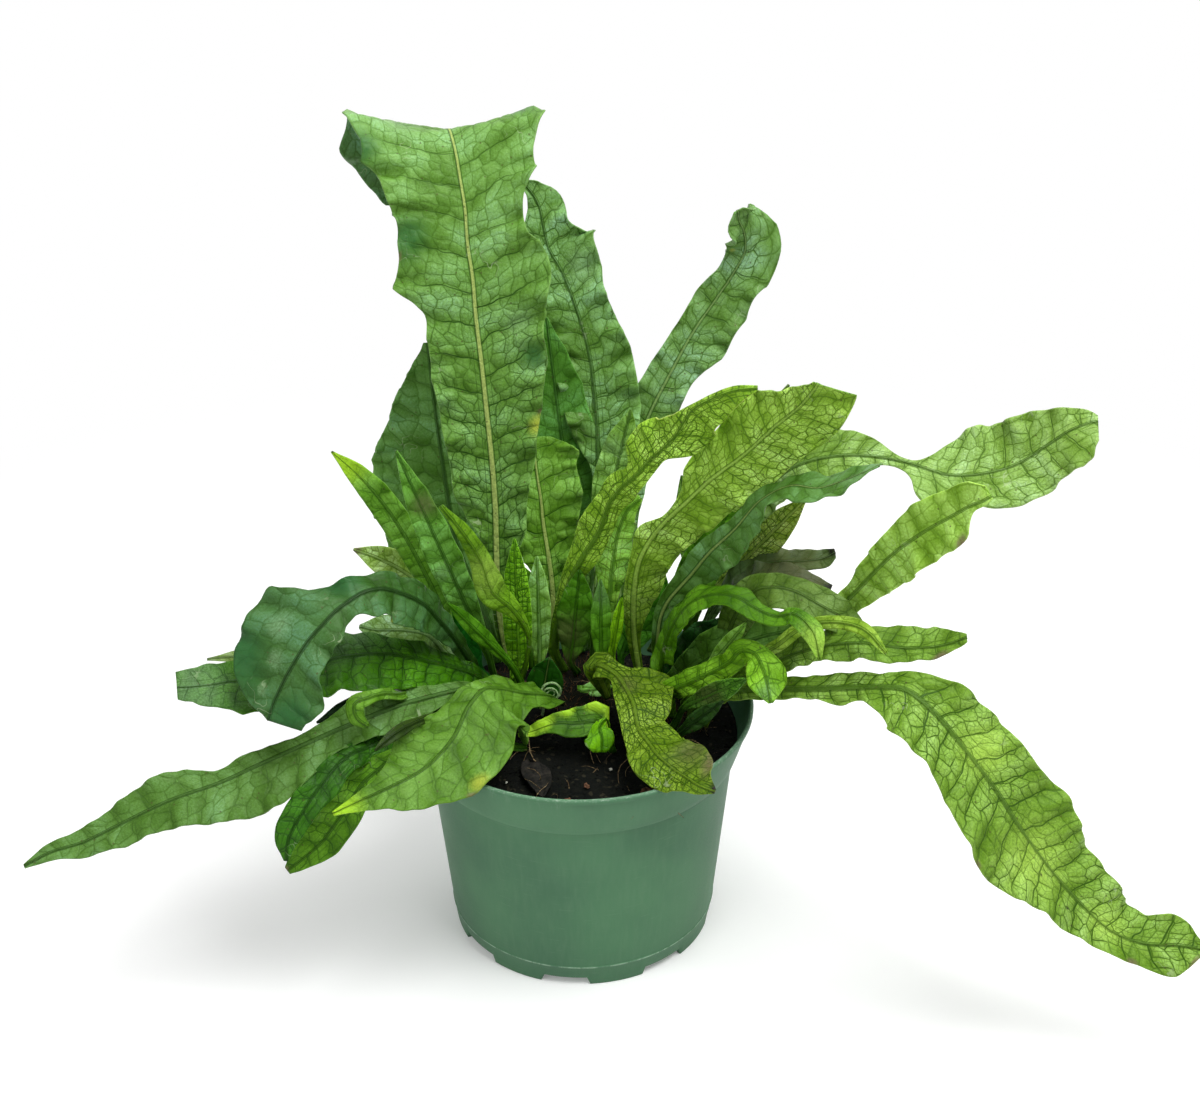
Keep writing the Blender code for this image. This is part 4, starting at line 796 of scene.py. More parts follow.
def blade_sheet(name, step):
    """A frond's sheet: its points, and each one's place across and along it, in millimetres."""
    frond, look = FRONDS[name], LOOKS[name]
    seat = SOIL_TOP if frond.get("seat") == "soil" else RHIZOME_TOP
    ribs = [(*frond["foot"], seat + FOOT_GAP, STIPE, STIPE)] + frond.get("ribs", [])
    if "root" in frond:
        ribs += plain_ribs(frond)
    rough = np.asarray(ribs, float)
    length = np.linalg.norm(np.diff(rough[:, :3], axis=0), axis=1).sum()
    rings = round(length / step) + 1
    rows, along = smooth_rows(ribs, rings)
    middle = rows[:, :3]
    heading = unit(np.gradient(middle, axis=0))
    facing = blend_rows(frond.get("faces", [VIEW, VIEW]), rings)
    facing = unit(facing - (facing * heading).sum(axis=1, keepdims=True) * heading)
    across = np.cross(heading, facing)
    widest = rows[:, 3:].max()
    columns = 2 * max(4, round(widest / step))
    shares = np.linspace(-1, 1, columns + 1)
    shares = np.sign(shares) * np.abs(shares) ** 0.93
    rise = math.tan(math.radians(frond.get("cup", CUP)))
    height, waves = look["wave"]
    tall = along / along[-1]
    number = list(FRONDS).index(name)
    random = np.random.default_rng(number)
    grow = np.clip(tall / 0.25, 0, 1)
    points, flat = [], []
    phases = random.uniform(0, 2 * math.pi, 8)
    spacing = STYLES[look["style"]]["spacing"]
    lobe = look.get("lobe", STYLES[look["style"]]["lobe"])
    for share in shares:
        side = 0 if share < 0 else 1
        width = np.clip(rows[:, 3 + side], 0.4, None)
        turn = along / spacing * 0.62 + phases[side]
        scallop = 0.55 - np.abs(np.sin(math.pi * (turn + 0.22 * np.sin(along / 19 + phases[6 + side]))))
        uneven = 0.6 + 0.4 * np.sin(along / 31 + phases[2 + side])
        reach = width * abs(share) * (1 + lobe * scallop * uneven * abs(share) ** 1.5 * grow)
        wave = (np.sin(tall * waves * 4 * math.pi + phases[4 + side])
                + 0.5 * np.sin(tall * waves * 9.2 * math.pi + phases[side]))
        wave *= height * abs(share) ** 2 * grow * np.clip(width / 14, 0.2, 1)
        lift = rise * reach + wave
        points.append(middle + across * (math.copysign(1, share) * reach)[:, None] + facing * lift[:, None])
        flat.append(np.stack([math.copysign(1, share) * reach, along + PATTERN_GAP * number,
                              np.full(rings, abs(share))], axis=1))
    return np.stack(points, axis=1), np.stack(flat, axis=1), tall


def mark_colours(look, flat, tall, shares, length):
    """Red, green, blue and strength of the marks at each point of a blade."""
    total = np.zeros(flat.shape[:2] + (4,))
    for kind, place, side, radius in look.get("marks", ()):
        strength, code = MARKS[kind]
        width = np.abs(flat[:, :, 0]).max(axis=1, keepdims=True)
        gap_across = (shares[None, :] - side) * width
        gap_along = (tall[:, None] - place) * length
        near = np.clip(1.25 - np.hypot(gap_across, gap_along) / radius, 0, 1) * strength
        stronger = near > total[:, :, 3]
        total[stronger, :3] = colour(code)[:3]
        total[:, :, 3] = np.maximum(total[:, :, 3], near)
    return total


def sheet_faces(rings, width):
    corner = (np.arange(rings - 1)[:, None] * width + np.arange(width - 1)[None, :]).ravel()
    return np.stack([corner, corner + 1, corner + width + 1, corner + width], axis=1)


def add_piece(name, mesh):
    piece = bpy.data.objects.new(name, mesh)
    bpy.context.scene.collection.objects.link(piece)
    return piece


def settled(piece):
    """Replaces an object by the plain mesh that its modifiers make."""
    graph = bpy.context.evaluated_depsgraph_get()
    mesh = bpy.data.meshes.new_from_object(piece.evaluated_get(graph), depsgraph=graph)
    name = piece.name
    bpy.data.objects.remove(piece)
    mesh.name = name
    return add_piece(name, mesh)


def set_inputs(modifier, values):
    """Sets a Geometry Nodes modifier's inputs, given by name."""
    for item in modifier.node_group.interface.items_tree:
        if item.item_type == "SOCKET" and item.in_out == "INPUT" and item.name in values:
            modifier[item.identifier] = values[item.name]


def point_attribute(mesh, name, kind, values):
    attribute = mesh.attributes.new(name, kind, "POINT")
    key = {"FLOAT_COLOR": "color", "FLOAT_VECTOR": "vector", "FLOAT": "value"}[kind]
    attribute.data.foreach_set(key, np.asarray(values, np.float32).ravel())


def make_frond(name, settings):
    look = {**STYLES[LOOKS[name]["style"]], **LOOKS[name]}
    points, flat, tall = blade_sheet(name, settings.leaf_step / MM)
    rings, width = points.shape[:2]
    own_name = name.replace("frond", "blade")
    mesh = bpy.data.meshes.new(own_name)
    faces = sheet_faces(rings, width)
    mesh.from_pydata((points.reshape(-1, 3) * MM).tolist(), [], faces.tolist())
    shares = flat[0, :, 2] * np.sign(np.linspace(-1, 1, width))
    length = flat[-1, 0, 1] - flat[0, 0, 1]
    point_attribute(mesh, "flat", "FLOAT_VECTOR", flat)
    point_attribute(mesh, "tall", "FLOAT", np.broadcast_to(tall[:, None], (rings, width)))
    point_attribute(mesh, "mark", "FLOAT_COLOR", mark_colours(look, flat, tall, shares, length))
    mesh.shade_smooth()
    upper = leaf_material(name + "_upper", look, look["upper"])
    under_code = look.get("under", look["upper"])
    under_style = {**look, "net": 1.0, "light": min(look["light"], -0.2)} if "under" not in look else look
    under = leaf_material(name + "_under", under_style, under_code)
    mesh.materials.append(upper)
    mesh.materials.append(under)
    blade = add_piece(own_name, mesh)
    thick = blade.vertex_groups.new(name="thickness")
    rib_half = look["rib"] * 0.5 * (1.25 - 0.75 * tall)[:, None]
    near_rib = np.clip(1.4 - np.abs(flat[:, :, 0]) / rib_half, 0, 1) * (1 - 0.6 * tall[:, None])
    weights = np.clip(0.24 + 0.6 * near_rib, 0, 1)
    weights[0] = 1.0
    levels = np.round(weights.ravel() * 20) / 20
    for level in np.unique(levels):
        thick.add(np.flatnonzero(levels == level).tolist(), float(level), "REPLACE")
    relief = blade.modifiers.new("relief", "NODES")
    relief.node_group = bpy.data.node_groups["leaf_relief"]
    set_inputs(relief, {"Spacing": look["spacing"], "Slope": look["slope"], "Cell": look["cell"],
                        "Puff": look["puff"] * settings.puff, "Quilt": look["quilt"] * settings.puff,
                        "Rib width": look["rib"], "Leaf material": upper})
    shell = blade.modifiers.new("shell", "SOLIDIFY")
    shell.thickness = settings.rib_thickness
    shell.offset = 0
    shell.vertex_group = thick.name
    shell.material_offset = 1
    blade = settled(blade)
    blade.data.shade_smooth()
    blade.vertex_groups.clear()
    finish_piece(blade, name if name in SLOTS else None)


# ---------------------------------------------------------------- pot

def wall_radius(height):
    """Outer radius of the pot's wall at a height."""
    heights = [0, STEP_HEIGHT, BAND_HEIGHT, BAND_HEIGHT + 0.01, POT_HEIGHT]
    return float(np.interp(height, heights, [FOOT_RADIUS, STEP_RADIUS, BODY_RADIUS, BAND_RADIUS, LIP_RADIUS]))


def pot_outline():
    """The pot's outline as rows of radius, height and the height that a foot notch lifts it to."""
    skirt = [(FOOT_RADIUS - 2.1, 0.0, 3.75), (FOOT_RADIUS - 1.5, -0.0, 3.8), (FOOT_RADIUS - 0.5, 0.0, 3.9),
             (FOOT_RADIUS - 0.15, 0.3, 4.05), (FOOT_RADIUS, 0.8, 4.4), (FOOT_RADIUS + 0.6, 5.0, 6.0)]
    wall = [(STEP_RADIUS - 0.15, STEP_HEIGHT - 0.9), (STEP_RADIUS + 0.25, STEP_HEIGHT - 0.25),
            (STEP_RADIUS + 0.3, STEP_HEIGHT + 0.25), (STEP_RADIUS + 0.05, STEP_HEIGHT + 0.7)]
    for height in np.linspace(STEP_HEIGHT + 6, BAND_HEIGHT - 3, 9):
        wall.append((wall_radius(height), height))
    wall += [(BODY_RADIUS - 0.05, BAND_HEIGHT - 0.5), (BODY_RADIUS + 0.15, BAND_HEIGHT - 0.1),
             (BAND_RADIUS - 0.35, BAND_HEIGHT), (BAND_RADIUS, BAND_HEIGHT + 0.35)]
    for height in np.linspace(BAND_HEIGHT + 4, POT_HEIGHT - 6, 4):
        wall.append((wall_radius(height), height))
    under_lip = POT_HEIGHT - 2.9
    wall += [(wall_radius(under_lip) - 0.5, under_lip - 0.7), (wall_radius(under_lip) - 0.35, under_lip),
             (LIP_RADIUS - 0.25, under_lip + 0.35), (LIP_RADIUS, under_lip + 0.9),
             (LIP_RADIUS, POT_HEIGHT - 0.8),
             (LIP_RADIUS - 0.2, POT_HEIGHT - 0.3), (LIP_RADIUS - 0.6, POT_HEIGHT),
             (LIP_RADIUS - 1.3, POT_HEIGHT),
             (LIP_RADIUS - 1.7, POT_HEIGHT - 0.3), (LIP_RADIUS - 2.0, POT_HEIGHT - 0.9),
             (wall_radius(POT_HEIGHT - 5) - WALL, POT_HEIGHT - 5),
             (BAND_RADIUS - WALL, BAND_HEIGHT + 0.4), (BODY_RADIUS - WALL, BAND_HEIGHT - 1.5),
             (wall_radius(50) - WALL, 50), (STEP_RADIUS - WALL, STEP_HEIGHT),
             (wall_radius(FLOOR_TOP) - WALL - 0.1, FLOOR_TOP + 0.5),
             (wall_radius(FLOOR_TOP) - WALL - 0.7, FLOOR_TOP),
             (DRAIN_RING, FLOOR_TOP), (0, FLOOR_TOP)]
    floor = [(0, 0), (PAD_RADIUS - 0.3, 0), (PAD_RADIUS, 0.2), (PAD_RADIUS + 1.4, FLOOR_UNDER)]
    under = [(FOOT_RADIUS - 3.4, FLOOR_UNDER, FLOOR_UNDER), (FOOT_RADIUS - 2.5, FLOOR_UNDER - 0.4, 3.6),
             (FOOT_RADIUS - 2.35, 0.3, 3.7)]
    return skirt + [(r, z, z) for r, z in wall + floor] + under


def notch_angles():
    """The angles of the pot's columns of points, and how far a notch lifts each one's foot."""
    step = math.degrees(NOTCH_WIDTH / 2 / FOOT_RADIUS)
    slant = math.degrees(NOTCH_SLOPE / FOOT_RADIUS)
    pitch = 360 / NOTCHES
    stations = [(-step, 0.0), (-step + slant, 1.0)]
    stations += [(angle, 1.0) for angle in np.linspace(-step + slant, step - slant, 13)[1:-1]]
    stations += [(step - slant, 1.0), (step, 0.0)]
    stations += [(angle, 0.0) for angle in np.linspace(step, pitch - step, 17)[1:-1]]
    angles, lifts = [], []
    for number in range(NOTCHES):
        for angle, lift in stations:
            angles.append(math.radians(NOTCH_START + pitch * number + angle))
            lifts.append(lift)
    return np.array(angles), np.array(lifts)


def revolved(name, outline, angles, lifts=None):
    """A closed mesh turned from rows of radius, height and lifted height."""
    rows = np.array(outline, float)
    if lifts is None:
        lifts = np.zeros(len(angles))
    shape = bmesh.new()
    rings = []
    for radius, height, lifted in rows:
        if radius == 0:
            rings.append([shape.verts.new((0, 0, height * MM))] * len(angles))
            continue
        rings.append([
            shape.verts.new((radius * math.cos(a) * MM, radius * math.sin(a) * MM,
                             (height + (lifted - height) * lift) * MM))
            for a, lift in zip(angles, lifts)])
    count = len(angles)
    for lower, upper in zip(rings, rings[1:] + rings[:1]):
        for i in range(count):
            j = (i + 1) % count
            corners = [lower[i], lower[j], upper[j], upper[i]]
            corners = [v for k, v in enumerate(corners) if v is not corners[k - 1]]
            if len(corners) > 2:
                shape.faces.new(corners)
    bmesh.ops.recalc_face_normals(shape, faces=shape.faces)
    mesh = bpy.data.meshes.new(name)
    shape.to_mesh(mesh)
    shape.free()
    return mesh


def plastic_material(settings):
    """Matt moulded plastic: faint cloudiness, drawn scuffs, painted shade low down, and lip edges paler from
    wear and a painted highlight.
    """
    material, n, shader = new_material("pot_plastic", Specular_IOR_Level=0.2)
    place = object_place(n)
    x, y, z = n.split(place)
    angle = n.math("ARCTAN2", y, x)
    radius = distance_out(n, x, y)
    round_way = n.times(angle, BODY_RADIUS)
    drawn = n.noise(n.vector(round_way, n.times(z, 0.18)), 0.35, 5.0, 0.6).outputs["Fac"]
    clouds = n.noise(place, 0.018, 4.0).outputs["Fac"]
    speckle = n.noise(place, 1.6, 3.0, 0.7).outputs["Fac"]
    scratch_way = n.vector(n.math("MULTIPLY_ADD", z, 0.35, n.times(round_way, 0.06)), z)
    scratch = n.noise(scratch_way, 1.1, 2.0, 0.4).outputs["Fac"]
    body = colour_of(settings.plastic)
    dark = blended(body, (0.02, 0.06, 0.045, 1), 0.35)
    dusty = blended(body, (0.42, 0.52, 0.42, 1), 0.3)
    base = n.mix(n.ramp(clouds, 0.3, 0.7), dark, body)
    base = n.mix(n.ramp(drawn, 0.35, 0.8, 0.0, 0.14), base, dusty)
    base = n.mix(n.times(n.ramp(scratch, 0.66, 0.7), 0.12), base, dusty)
    # Painted shade: the plastic darker towards the bottom, near the floor.
    base = n.mix(n.ramp(z, 26.0, 0.0, 0.0, 0.25), base, dark)
    seam = n.ramp(n.math("ABSOLUTE", n.math("SUBTRACT", z, STEP_HEIGHT)), 0.1, 0.55, 1.0, 0.0)
    broken = n.ramp(n.noise(n.vector(round_way, 0.0), 0.12, 4.0, 0.7).outputs["Fac"], 0.42, 0.56, 0.1, 0.8)
    base = n.mix(n.times(seam, broken), base, (0.36, 0.52, 0.38, 1))
    # Lip edge: pale flecks, partly wear and partly a painted highlight on the rim.
    lip_edge = n.times(n.ramp(z, POT_HEIGHT - 1.2, POT_HEIGHT - 0.3),
                      n.ramp(radius, LIP_RADIUS - 1.9, LIP_RADIUS - 1.2))
    flecks = n.noise(n.vector(round_way, n.times(radius, 3.0)), 0.55, 4.0, 0.75).outputs["Fac"]
    base = n.mix(n.times(lip_edge, n.ramp(flecks, 0.5, 0.66, 0.05, 0.5)), base, (0.5, 0.6, 0.5, 1))
    band_scuff = n.times(n.ramp(z, POT_HEIGHT - 8, POT_HEIGHT - 4), n.ramp(drawn, 0.55, 0.68, 0.0, 0.1))
    base = n.mix(band_scuff, base, (0.34, 0.48, 0.38, 1))
    rough = n.math("ADD", n.ramp(speckle, 0.3, 0.7, 0.42, 0.52), n.ramp(drawn, 0.3, 0.8, 0.0, 0.1))
    height = n.math("ADD", n.times(speckle, 0.5), n.times(drawn, 0.6))
    dress(n, shader, base, rough, height, 0.08)
    return material


def make_pot(settings):
    angles, lifts = notch_angles()
    pot = add_piece("nursery_pot", revolved("nursery_pot", pot_outline(), angles, lifts))
    holes = bmesh.new()
    for number in range(NOTCHES):
        angle = math.radians(NOTCH_START + 360 / NOTCHES * number)
        place = Matrix.Rotation(angle, 4, "Z") @ Matrix.Translation((DRAIN_RING * MM, 0, 0))
        bmesh.ops.create_cone(holes, cap_ends=True, segments=28, radius1=DRAIN_RADIUS * MM,
                              radius2=DRAIN_RADIUS * MM, depth=24 * MM, matrix=place)
    mesh = bpy.data.meshes.new("drain_holes")
    holes.to_mesh(mesh)
    holes.free()
    cutter = add_piece("drain_holes", mesh)
    cut = pot.modifiers.new("drain_holes", "BOOLEAN")
    cut.object = cutter
    cut.solver = "EXACT"
    pot.data.materials.append(plastic_material(settings))
    pot = settled(pot)
    bpy.data.objects.remove(cutter)
    pot.data.shade_smooth()
    pot.data.set_sharp_from_angle(angle=math.radians(32))
    finish_piece(pot, "pot")


# ---------------------------------------------------------------- soil, rhizomes and what grows low

def soil_material(settings):
    """Wet dark peat: near black, with browner crumbs and a faint sheen."""
    material, n, shader = new_material("soil", Specular_IOR_Level=0.06)
    place = object_place(n)
    crumbs = n.noise(place, 0.55, 5.0, 0.7).outputs["Fac"]
    patches = n.noise(place, 0.07, 3.0).outputs["Fac"]
    grit = n.add("ShaderNodeTexVoronoi", {"Vector": place, "Scale": 0.6}).outputs["Color"]
    black = colour_of(settings.soil)
    brown = blended(black, (0.02, 0.02, 0.014, 1), 0.4)
    base = n.mix(n.ramp(crumbs, 0.42, 0.72), black, brown)
    base = n.mix(n.ramp(patches, 0.4, 0.7, 0.0, 0.4), base, brown)
    base = n.mix(n.ramp(n.split(grit)[0], 0.93, 0.97, 0.0, 0.5), base, (0.045, 0.04, 0.025, 1))
    dress(n, shader, base, n.ramp(crumbs, 0.3, 0.7, 0.62, 0.92), crumbs, 1.2)
    return material


def woody_material(name, dark, light, scale, shine=0.55):
    """Dry plant stuff: bark, roots, hairs, dead leaf. Streaked between two browns."""
    material, n, shader = new_material(name, Specular_IOR_Level=0.12)
    place = object_place(n)
    streaks = n.noise(place, scale, 5.0, 0.65).outputs["Fac"]
    spots = n.noise(place, scale * 0.25, 2.0).outputs["Fac"]
    base = n.mix(n.ramp(streaks, 0.35, 0.68), colour(dark), colour(light))
    base = n.mix(n.ramp(spots, 0.5, 0.7, 0.0, 0.55), base, colour(dark))
    dress(n, shader, base, n.ramp(streaks, 0.3, 0.7, shine, shine + 0.3), streaks, 0.5)
    return material


def lumps(x, y, size, seed):
    return noise.fractal(Vector((x / size, y / size, seed)), 1.0, 2.0, 4)


def make_soil(settings):
    edge = wall_radius(SOIL_TOP - 2) - WALL - 0.6
    rings = 46
    radii = [edge * i / rings for i in range(rings + 1)]
    angles = np.linspace(0, 2 * math.pi, 181)[:-1]
    outline = [(r, SOIL_TOP - 0.6, 0.0) for r in radii]
    outline += [(edge, SOIL_TOP - 5, 0.0), (BAND_RADIUS - WALL - 0.6, BAND_HEIGHT + 0.6, 0.0),
                (BODY_RADIUS - WALL - 0.6, BAND_HEIGHT - 1.6, 0.0),
                (STEP_RADIUS - WALL - 0.6, STEP_HEIGHT, 0.0),
                (wall_radius(FLOOR_TOP) - WALL - 0.9, FLOOR_TOP + 0.3, 0.0), (0, FLOOR_TOP + 0.3, 0.0)]
    mesh = revolved("potting_soil", [(0.0, *outline[0][1:])] + outline[1:], angles)
    for vert in mesh.vertices:
        x, y, z = (value / MM for value in vert.co)
        if z > SOIL_TOP - 2:
            away = math.hypot(x, y) / edge
            rise = 1.3 * lumps(x, y, 16, 3.1) + 0.9 * lumps(x, y, 4.5, 8.4) - 1.6 * away**6
            vert.co.z += rise * MM
    soil = add_piece("potting_soil", mesh)
    material = soil_material(settings)
    mesh.materials.append(material)
    mesh.shade_smooth()
    finish_piece(soil, "soil")
    scatter("soil_crumbs", soil, soil_crumb(), settings.crumbs, 5, (0.5, 2.2), material, 0.0)
    roots = woody_material("root_fibre", "3a2b1c", "a08b66", 0.8)
    scatter("root_fibres", soil, root_fibre(), settings.fibres, 11, (0.5, 1.6), roots, 0.35)
    bark = woody_material("bark", "2c1b13", "7d5a44", 0.5)
    chips = [(31, -55, 7, 2.2, 20), (25, -60, 5, 2.0, -35), (36, -48, 6, 1.6, 65), (-6, -62, 4.5, 1.8, 10),
             (58, -34, 5, 2.0, 40), (3, -51, 4, 1.6, -70), (44, -42, 4, 1.7, 15)]
    make_chips("bark_chips", chips, bark, 17)
    pale = woody_material("perlite", "a5a596", "e6e6da", 0.9)
    specks = [(14, -38, 1.6, 1.3, 0), (-34, -48, 1.2, 1.0, 30), (50, -50, 1.1, 0.9, 80)]
    make_chips("perlite_specks", specks, pale, 23)


def soil_crumb():
    """One rounded crumb, 1 mm across."""
    shape = bmesh.new()
    bmesh.ops.create_icosphere(shape, subdivisions=1, radius=0.5 * MM)
    for vert in shape.verts:
        vert.co *= 1 + 0.35 * noise.noise(vert.co * 2600)
        vert.co.z *= 0.75
    return mesh_of(shape, "soil_crumb")


def root_fibre():
    """One curved hair of root, 12 mm long."""
    points = [(0, 0, -0.6), (1.4, 0.2, 0.5), (3.6, 0.9, 1.5), (6.2, 0.7, 1.9),
              (9.0, -0.4, 1.2), (11.6, -0.9, -0.5)]
    return tube("root_fibre", points, [0.10, 0.16, 0.17, 0.15, 0.12, 0.06], 4)


def hair():
    """One stiff scaly hair, 3 mm long."""
    return tube("hair", [(0, 0, -0.3), (0.3, 0, 1.2), (1.1, 0.2, 2.6)], [0.22, 0.16, 0.03], 3)


def mesh_of(shape, name):
    mesh = bpy.data.meshes.new(name)
    bmesh.ops.recalc_face_normals(shape, faces=shape.faces)
    shape.to_mesh(mesh)
    shape.free()
    return mesh


def tube(name, points, radii, sides):
    """A closed tube through points given in millimetres."""
    points = np.asarray(points, float)
    heading = unit(np.gradient(points, axis=0))
    side = np.cross(heading, np.where(np.abs(heading[:, 2:]) > 0.9, (0.0, 1.0, 0.0), (0.0, 0.0, 1.0)))
    side = unit(side)
    for i in range(1, len(side)):
        side[i] = side[i - 1] - heading[i] * side[i - 1].dot(heading[i])
        side[i] /= np.linalg.norm(side[i])
    other = np.cross(heading, side)
    shape = bmesh.new()
    rings = []
    turns = [2 * math.pi * k / sides for k in range(sides)]
    for point, radius, a, b in zip(points, radii, side, other):
        circle = [point + radius * (a * math.cos(t) + b * math.sin(t)) for t in turns]
        rings.append([shape.verts.new(place * MM) for place in circle])
    for lower, upper in zip(rings, rings[1:]):
        for k in range(sides):
            shape.faces.new((lower[k], lower[k - 1], upper[k - 1], upper[k]))
    shape.faces.new(rings[0])
    shape.faces.new(rings[-1])
    return mesh_of(shape, name)


def scatter_tree():
    """Spreads turned, tilted and scaled copies of a shape over a surface's upward faces."""
    tree = bpy.data.node_groups.new("scatter", "GeometryNodeTree")
    new_sockets(tree, ["Geometry"], "NodeSocketGeometry")
    new_sockets(tree, ["Shape"], "NodeSocketObject")
    new_sockets(tree, ["Per square metre", "Smallest", "Largest", "Tilt"])
    new_sockets(tree, ["Seed"], "NodeSocketInt")
    new_sockets(tree, ["Finish"], "NodeSocketMaterial")
    new_sockets(tree, ["Geometry"], "NodeSocketGeometry", "OUTPUT")
    n = Nodes(tree)
    given = n.add("NodeGroupInput").outputs
    upward = n.split(n.add("GeometryNodeInputNormal").outputs[0])[2]
    facing = n.add("FunctionNodeCompare", {0: upward, 1: 0.35}, data_type="FLOAT", operation="GREATER_THAN")
    spread = n.add("GeometryNodeDistributePointsOnFaces", {
        "Mesh": given["Geometry"], "Selection": facing.outputs[0],
        "Density": given["Per square metre"], "Seed": given["Seed"]})
    tilt = n.times(given["Tilt"], math.pi)
    low = n.vector(n.times(tilt, -1.0), n.times(tilt, -1.0), 0.0)
    high = n.vector(tilt, tilt, 2 * math.pi)
    turns = {0: low, 1: high, "Seed": given["Seed"]}
    turn = n.add("FunctionNodeRandomValue", turns, data_type="FLOAT_VECTOR")
    sizes = {2: given["Smallest"], 3: given["Largest"], "Seed": given["Seed"]}
    size = n.add("FunctionNodeRandomValue", sizes, data_type="FLOAT")
    shape = n.add("GeometryNodeObjectInfo", {"Object": given["Shape"]}).outputs["Geometry"]
    euler = n.add("FunctionNodeEulerToRotation", {0: turn.outputs[0]}).outputs[0]
    copies = n.add("GeometryNodeInstanceOnPoints", {
        "Points": spread.outputs["Points"], "Instance": shape, "Rotation": euler, "Scale": size.outputs[1]})
    finish_tree(n, copies.outputs[0], given["Finish"])
    return tree


def scatter(name, ground, shape_mesh, density, seed, sizes, material, tilt):
    """Adds a piece made of many copies of one small mesh, standing on another piece."""
    shape = add_piece(name + "_one", shape_mesh)
    bare = bpy.data.meshes.new(name)
    points = [tuple(vert.co) for vert in ground.data.vertices]
    bare.from_pydata(points, [], [tuple(face.vertices) for face in ground.data.polygons])
    piece = add_piece(name, bare)
    spread = piece.modifiers.new("scatter", "NODES")
    spread.node_group = bpy.data.node_groups["scatter"]
    set_inputs(spread, {"Shape": shape, "Per square metre": density,
                        "Smallest": sizes[0], "Largest": sizes[1],
                        "Tilt": tilt, "Seed": seed, "Finish": material})
    piece = settled(piece)
    bpy.data.objects.remove(shape)
    finish_piece(piece, None)


def make_chips(name, chips, material, seed):
    """Flat broken pieces lying on the soil, each given as x, y, length, thickness and turn."""
    shape = bmesh.new()
    random = np.random.default_rng(seed)
    for x, y, length, thick, turn in chips:
        place = (Matrix.Translation((x * MM, y * MM, (SOIL_TOP + 0.6) * MM))
                 @ Matrix.Rotation(math.radians(turn), 4, "Z")
                 @ Matrix.Rotation(random.uniform(-0.25, 0.25), 4, "Y")
                 @ Matrix.Diagonal((length * MM, length * 0.55 * MM, thick * MM, 1)))
        fresh = bmesh.ops.create_icosphere(shape, subdivisions=2, radius=0.5, matrix=place)["verts"]
        for vert in fresh:
            vert.co += Vector(random.normal(0, 0.07 * length, 3)) * MM * Vector((1, 1, 0.5)).length / 1.5
    piece = add_piece(name, mesh_of(shape, name))
    piece.data.materials.append(material)
    finish_piece(piece, None)


def make_rhizomes(settings):
    """Knotted mats of creeping rhizome that the fronds stand on, with brown scaly hairs."""
    scales = woody_material("rhizome_scales", "070806", "1c1c10", 0.9, 0.8)
    for seed, node in enumerate(("rhizome_left", "rhizome_centre", "rhizome_right")):
        low, high = corners_mm(node)
        middle, half = (low + high) / 2, (high - low) / 2
        shape = bmesh.new()
        rings, sides = 22, 72
        grid = []
        for ring in range(1, rings + 1):
            share = ring / rings
            row = []
            for k in range(sides):
                angle = 2 * math.pi * k / sides
                spread = share * (1 + 0.08 * lumps(math.cos(angle) * 3, math.sin(angle) * 3, 1, seed))
                x = middle[0] + half[0] * spread * math.copysign(abs(math.cos(angle)) ** 0.8, math.cos(angle))
                y = middle[1] + half[1] * spread * math.copysign(abs(math.sin(angle)) ** 0.8, math.sin(angle))
                inside = min(1, 73.5 / math.hypot(x, y))
                x, y = x * inside, y * inside
                knots = 1.6 * abs(lumps(x, y, 7, seed + 2.2)) + 0.7 * lumps(x, y, 2.5, seed + 5)
                z = SOIL_TOP - 1.5 + (4.2 + 1.4 * knots) * (1 - share**4)
                row.append(shape.verts.new((x * MM, y * MM, z * MM)))
            grid.append(row)
        top = shape.verts.new((middle[0] * MM, middle[1] * MM, (SOIL_TOP + 3.2) * MM))
        for k in range(sides):
            shape.faces.new((top, grid[0][k - 1], grid[0][k]))
            for inner, outer in zip(grid, grid[1:]):
                shape.faces.new((inner[k], inner[k - 1], outer[k - 1], outer[k]))
        shape.faces.new(grid[-1])
        mat = add_piece(node, mesh_of(shape, node))
        mat.name = node.replace("rhizome", "rhizome_mat")
        mat.data.materials.append(scales)
        mat.data.shade_smooth()
        finish_piece(mat, node)
        hairs = woody_material(f"rhizome_hairs_{seed}", "2a1c12", "7a5a38", 1.2)
        scatter(mat.name + "_hairs", mat, hair(), settings.hairs, 31 + seed, (0.6, 1.3), hairs, 0.18)


def make_fiddlehead():
    """A young frond still coiled like a spring, silvery with scales, on a short stalk."""
    low, high = corners_mm("fiddlehead")
    foot_x = -19.0
    foot_y = (low[1] + high[1]) / 2
    points, radii = [], []
    for share in np.linspace(0, 1, 14)[:-1]:
        points.append((foot_x + 1.2 * math.sin(share * 2.4), foot_y, SOIL_TOP - 1 + 14 * share))
        radii.append(0.75 - 0.1 * share)
    turns, steps = 2.8, 84
    for step in range(steps + 1):
        share = step / steps
        angle = 2 * math.pi * turns * share
        radius = 4.4 * (1 - share) ** 0.75 + 0.7
        points.append((foot_x + 5.3 - radius * math.cos(angle) - 0.4,
                       foot_y - 3.2 * share + 1.2 * math.sin(angle * 0.5),
                       SOIL_TOP + 13.2 + radius * math.sin(angle) * 1.05))
        radii.append(0.65 - 0.34 * share)
    smooth = np.array(points)
    for _ in range(3):
        smooth[1:-1] = (smooth[:-2] + 2 * smooth[1:-1] + smooth[2:]) / 4
    coil = add_piece("coiled_frond", tube("coiled_frond", smooth, radii, 10))
    coil.data.shade_smooth()
    coil.data.materials.append(woody_material("coil_scales", "5f8a3c", "b9d3a4", 1.4, 0.35))
    finish_piece(coil, "fiddlehead")


